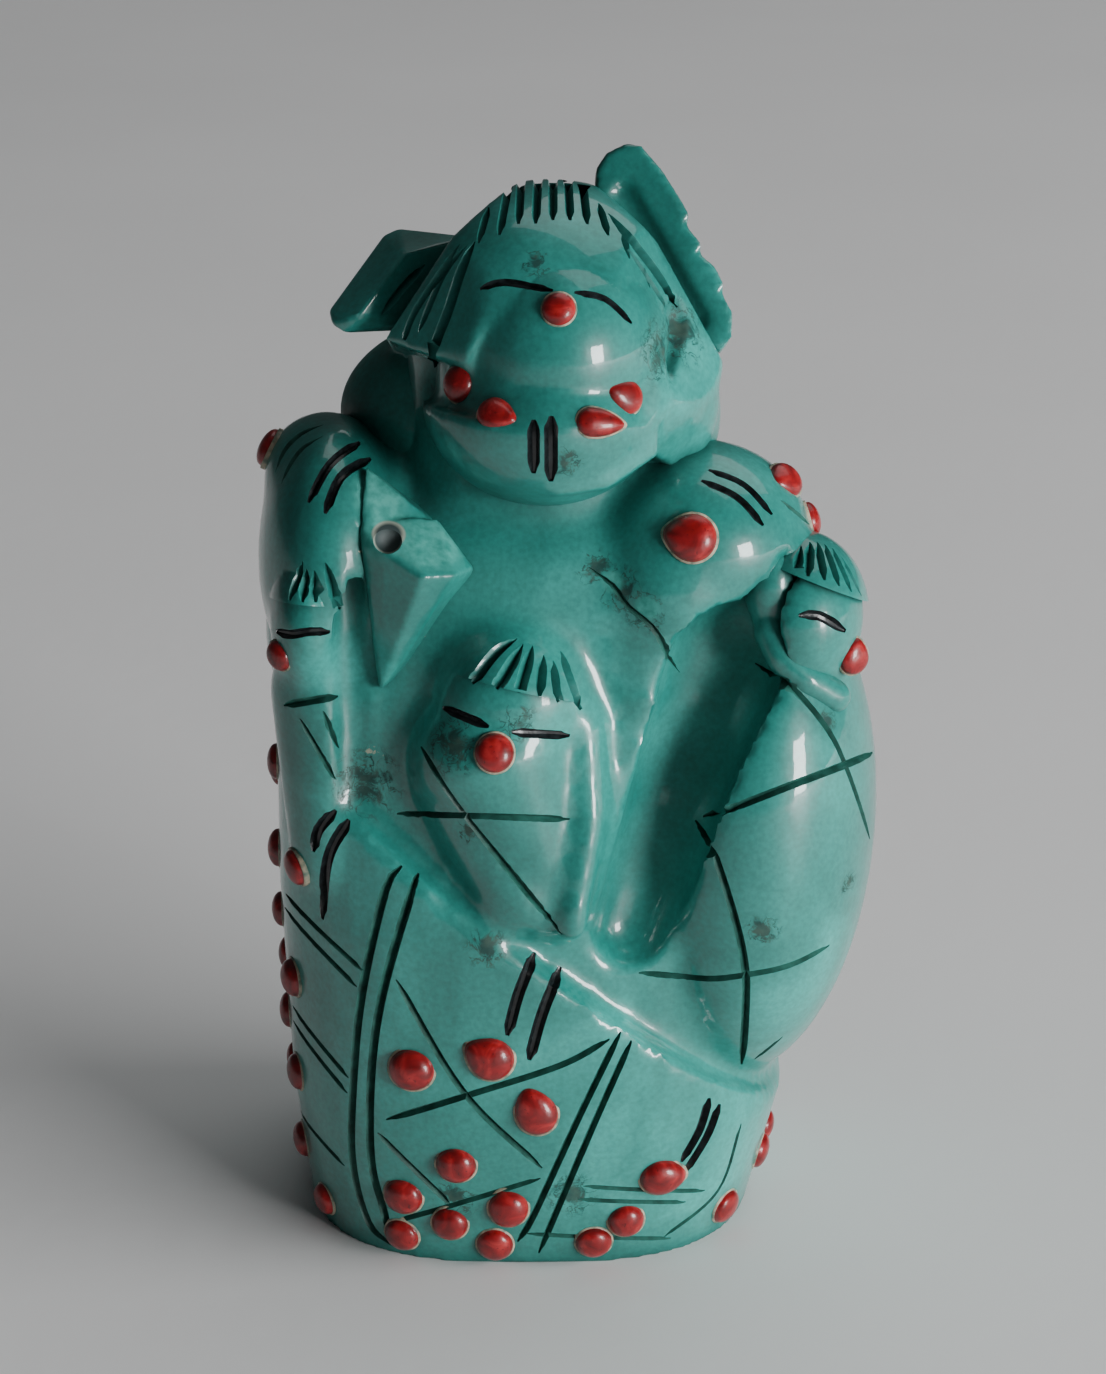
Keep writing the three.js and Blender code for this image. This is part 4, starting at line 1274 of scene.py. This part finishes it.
def coral_red():
    """Banded red coral with small dark pits."""
    shading = Shading("coral_red")
    bands = shading.ramp(
        shading.noise(1.3, detail=3, distortion=1.5),
        (0.32, (0.12, 0.003, 0.004)),
        (0.55, (0.24, 0.006, 0.008)),
        (0.72, (0.38, 0.022, 0.022)),
    )
    pits = shading.ramp(shading.noise(0.22), (0.28, 0.45), (0.36, 1.0))
    shading.give("Base Color", shading.times(bands, pits))
    shading.give("Roughness", shading.ramp(shading.noise(0.8, 3), (0.3, 0.28), (0.7, 0.42)))
    shading.give("Coat Weight", 0.4)
    shading.give("Coat Roughness", 0.06)
    shading.bump(shading.noise(0.35, 3), 0.02)
    return shading.material


def glue_pale():
    shading = Shading("glue_pale")
    colour = shading.ramp(shading.noise(0.5, 3), (0.35, (0.1, 0.16, 0.12)), (0.6, (0.42, 0.36, 0.26)))
    shading.give("Base Color", colour)
    shading.give("Roughness", 0.45)
    shading.bump(shading.noise(0.2), 0.03)
    return shading.material


def pale_floor():
    shading = Shading("pale_floor")
    shading.give("Base Color", shading.ramp(shading.noise(60, 4), (0.3, 0.84), (0.7, 0.88)))
    shading.give("Roughness", 0.6)
    shading.bump(shading.noise(2.0, 3), 0.02)
    return shading.material


# The room

# The camera's sensor and lens, and how far it is from the middle of the figure, all in millimetres
SENSOR = 36
LENS = 101.45
CAMERA_AWAY = 220
# In metres: how wide the floor is, and the place that the lights are turned to
FLOOR = 4
LIT_PLACE = (0, 0, MIDDLE * MM)


def camera():
    data = bpy.data.cameras.new("camera")
    data.sensor_width = SENSOR
    data.lens = LENS
    data.clip_start = 0.01
    eye = bpy.data.objects.new("camera", data)
    bpy.context.scene.collection.objects.link(eye)
    eye.location = (Vector((0, 0, MIDDLE)) - INTO * CAMERA_AWAY) * MM
    eye.rotation_euler = INTO.to_track_quat("-Z", "Y").to_euler()
    bpy.context.scene.camera = eye


def area_light(name, place, size, power, glossy=True):
    data = bpy.data.lights.new(name, "AREA")
    data.shape = "RECTANGLE"
    data.size, data.size_y = size
    data.energy = power
    lamp = bpy.data.objects.new(name, data)
    lamp.visible_glossy = glossy
    bpy.context.scene.collection.objects.link(lamp)
    lamp.location = place
    lamp.rotation_euler = (Vector(LIT_PLACE) - Vector(place)).to_track_quat("-Z", "Y").to_euler()


def room():
    camera()
    only()
    bpy.ops.mesh.primitive_plane_add(size=FLOOR)
    floor = bpy.context.object
    floor.name = "floor"
    floor.data.materials.append(pale_floor())
    world = bpy.data.worlds.new("room")
    world.use_nodes = True
    background = world.node_tree.nodes["Background"]
    background.inputs["Color"].default_value = (0.92, 0.97, 1, 1)
    background.inputs["Strength"].default_value = 0.05
    bpy.context.scene.world = world
    area_light("window", (0.44, -0.46, 0.1), (0.16, 0.19), 3.0)
    area_light("side", (0.6, -0.2, 0.12), (0.5, 0.5), 7.8, glossy=False)
    area_light("soft", (0.2, 0.3, 0.7), (0.7, 0.7), 1.5)


# The finished carving

# Edges of the stone sharper than this many degrees stay sharp
SHARP = 38

figure = carved_stone()
drawing = Drawing(figure)
stone_look = turquoise_stone(
    drawing.spots(MATRIX),
    drawing.spots(CRUMBS),
    drawing.spots(BROKEN),
    drawing.spots([(*LOST_DOT, LOST_DOT_GLUE)]),
)
figure.data.materials.append(stone_look)
engraved(figure, drawing, groove_dirt_and_shade(), stroke_black())
to_metres(figure)
only(figure)
bpy.ops.object.shade_smooth_by_angle(angle=math.radians(SHARP))
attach(figure, "root")
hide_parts("turquoise_figure")
coral_dots(drawing, coral_red(), glue_pale())
room()
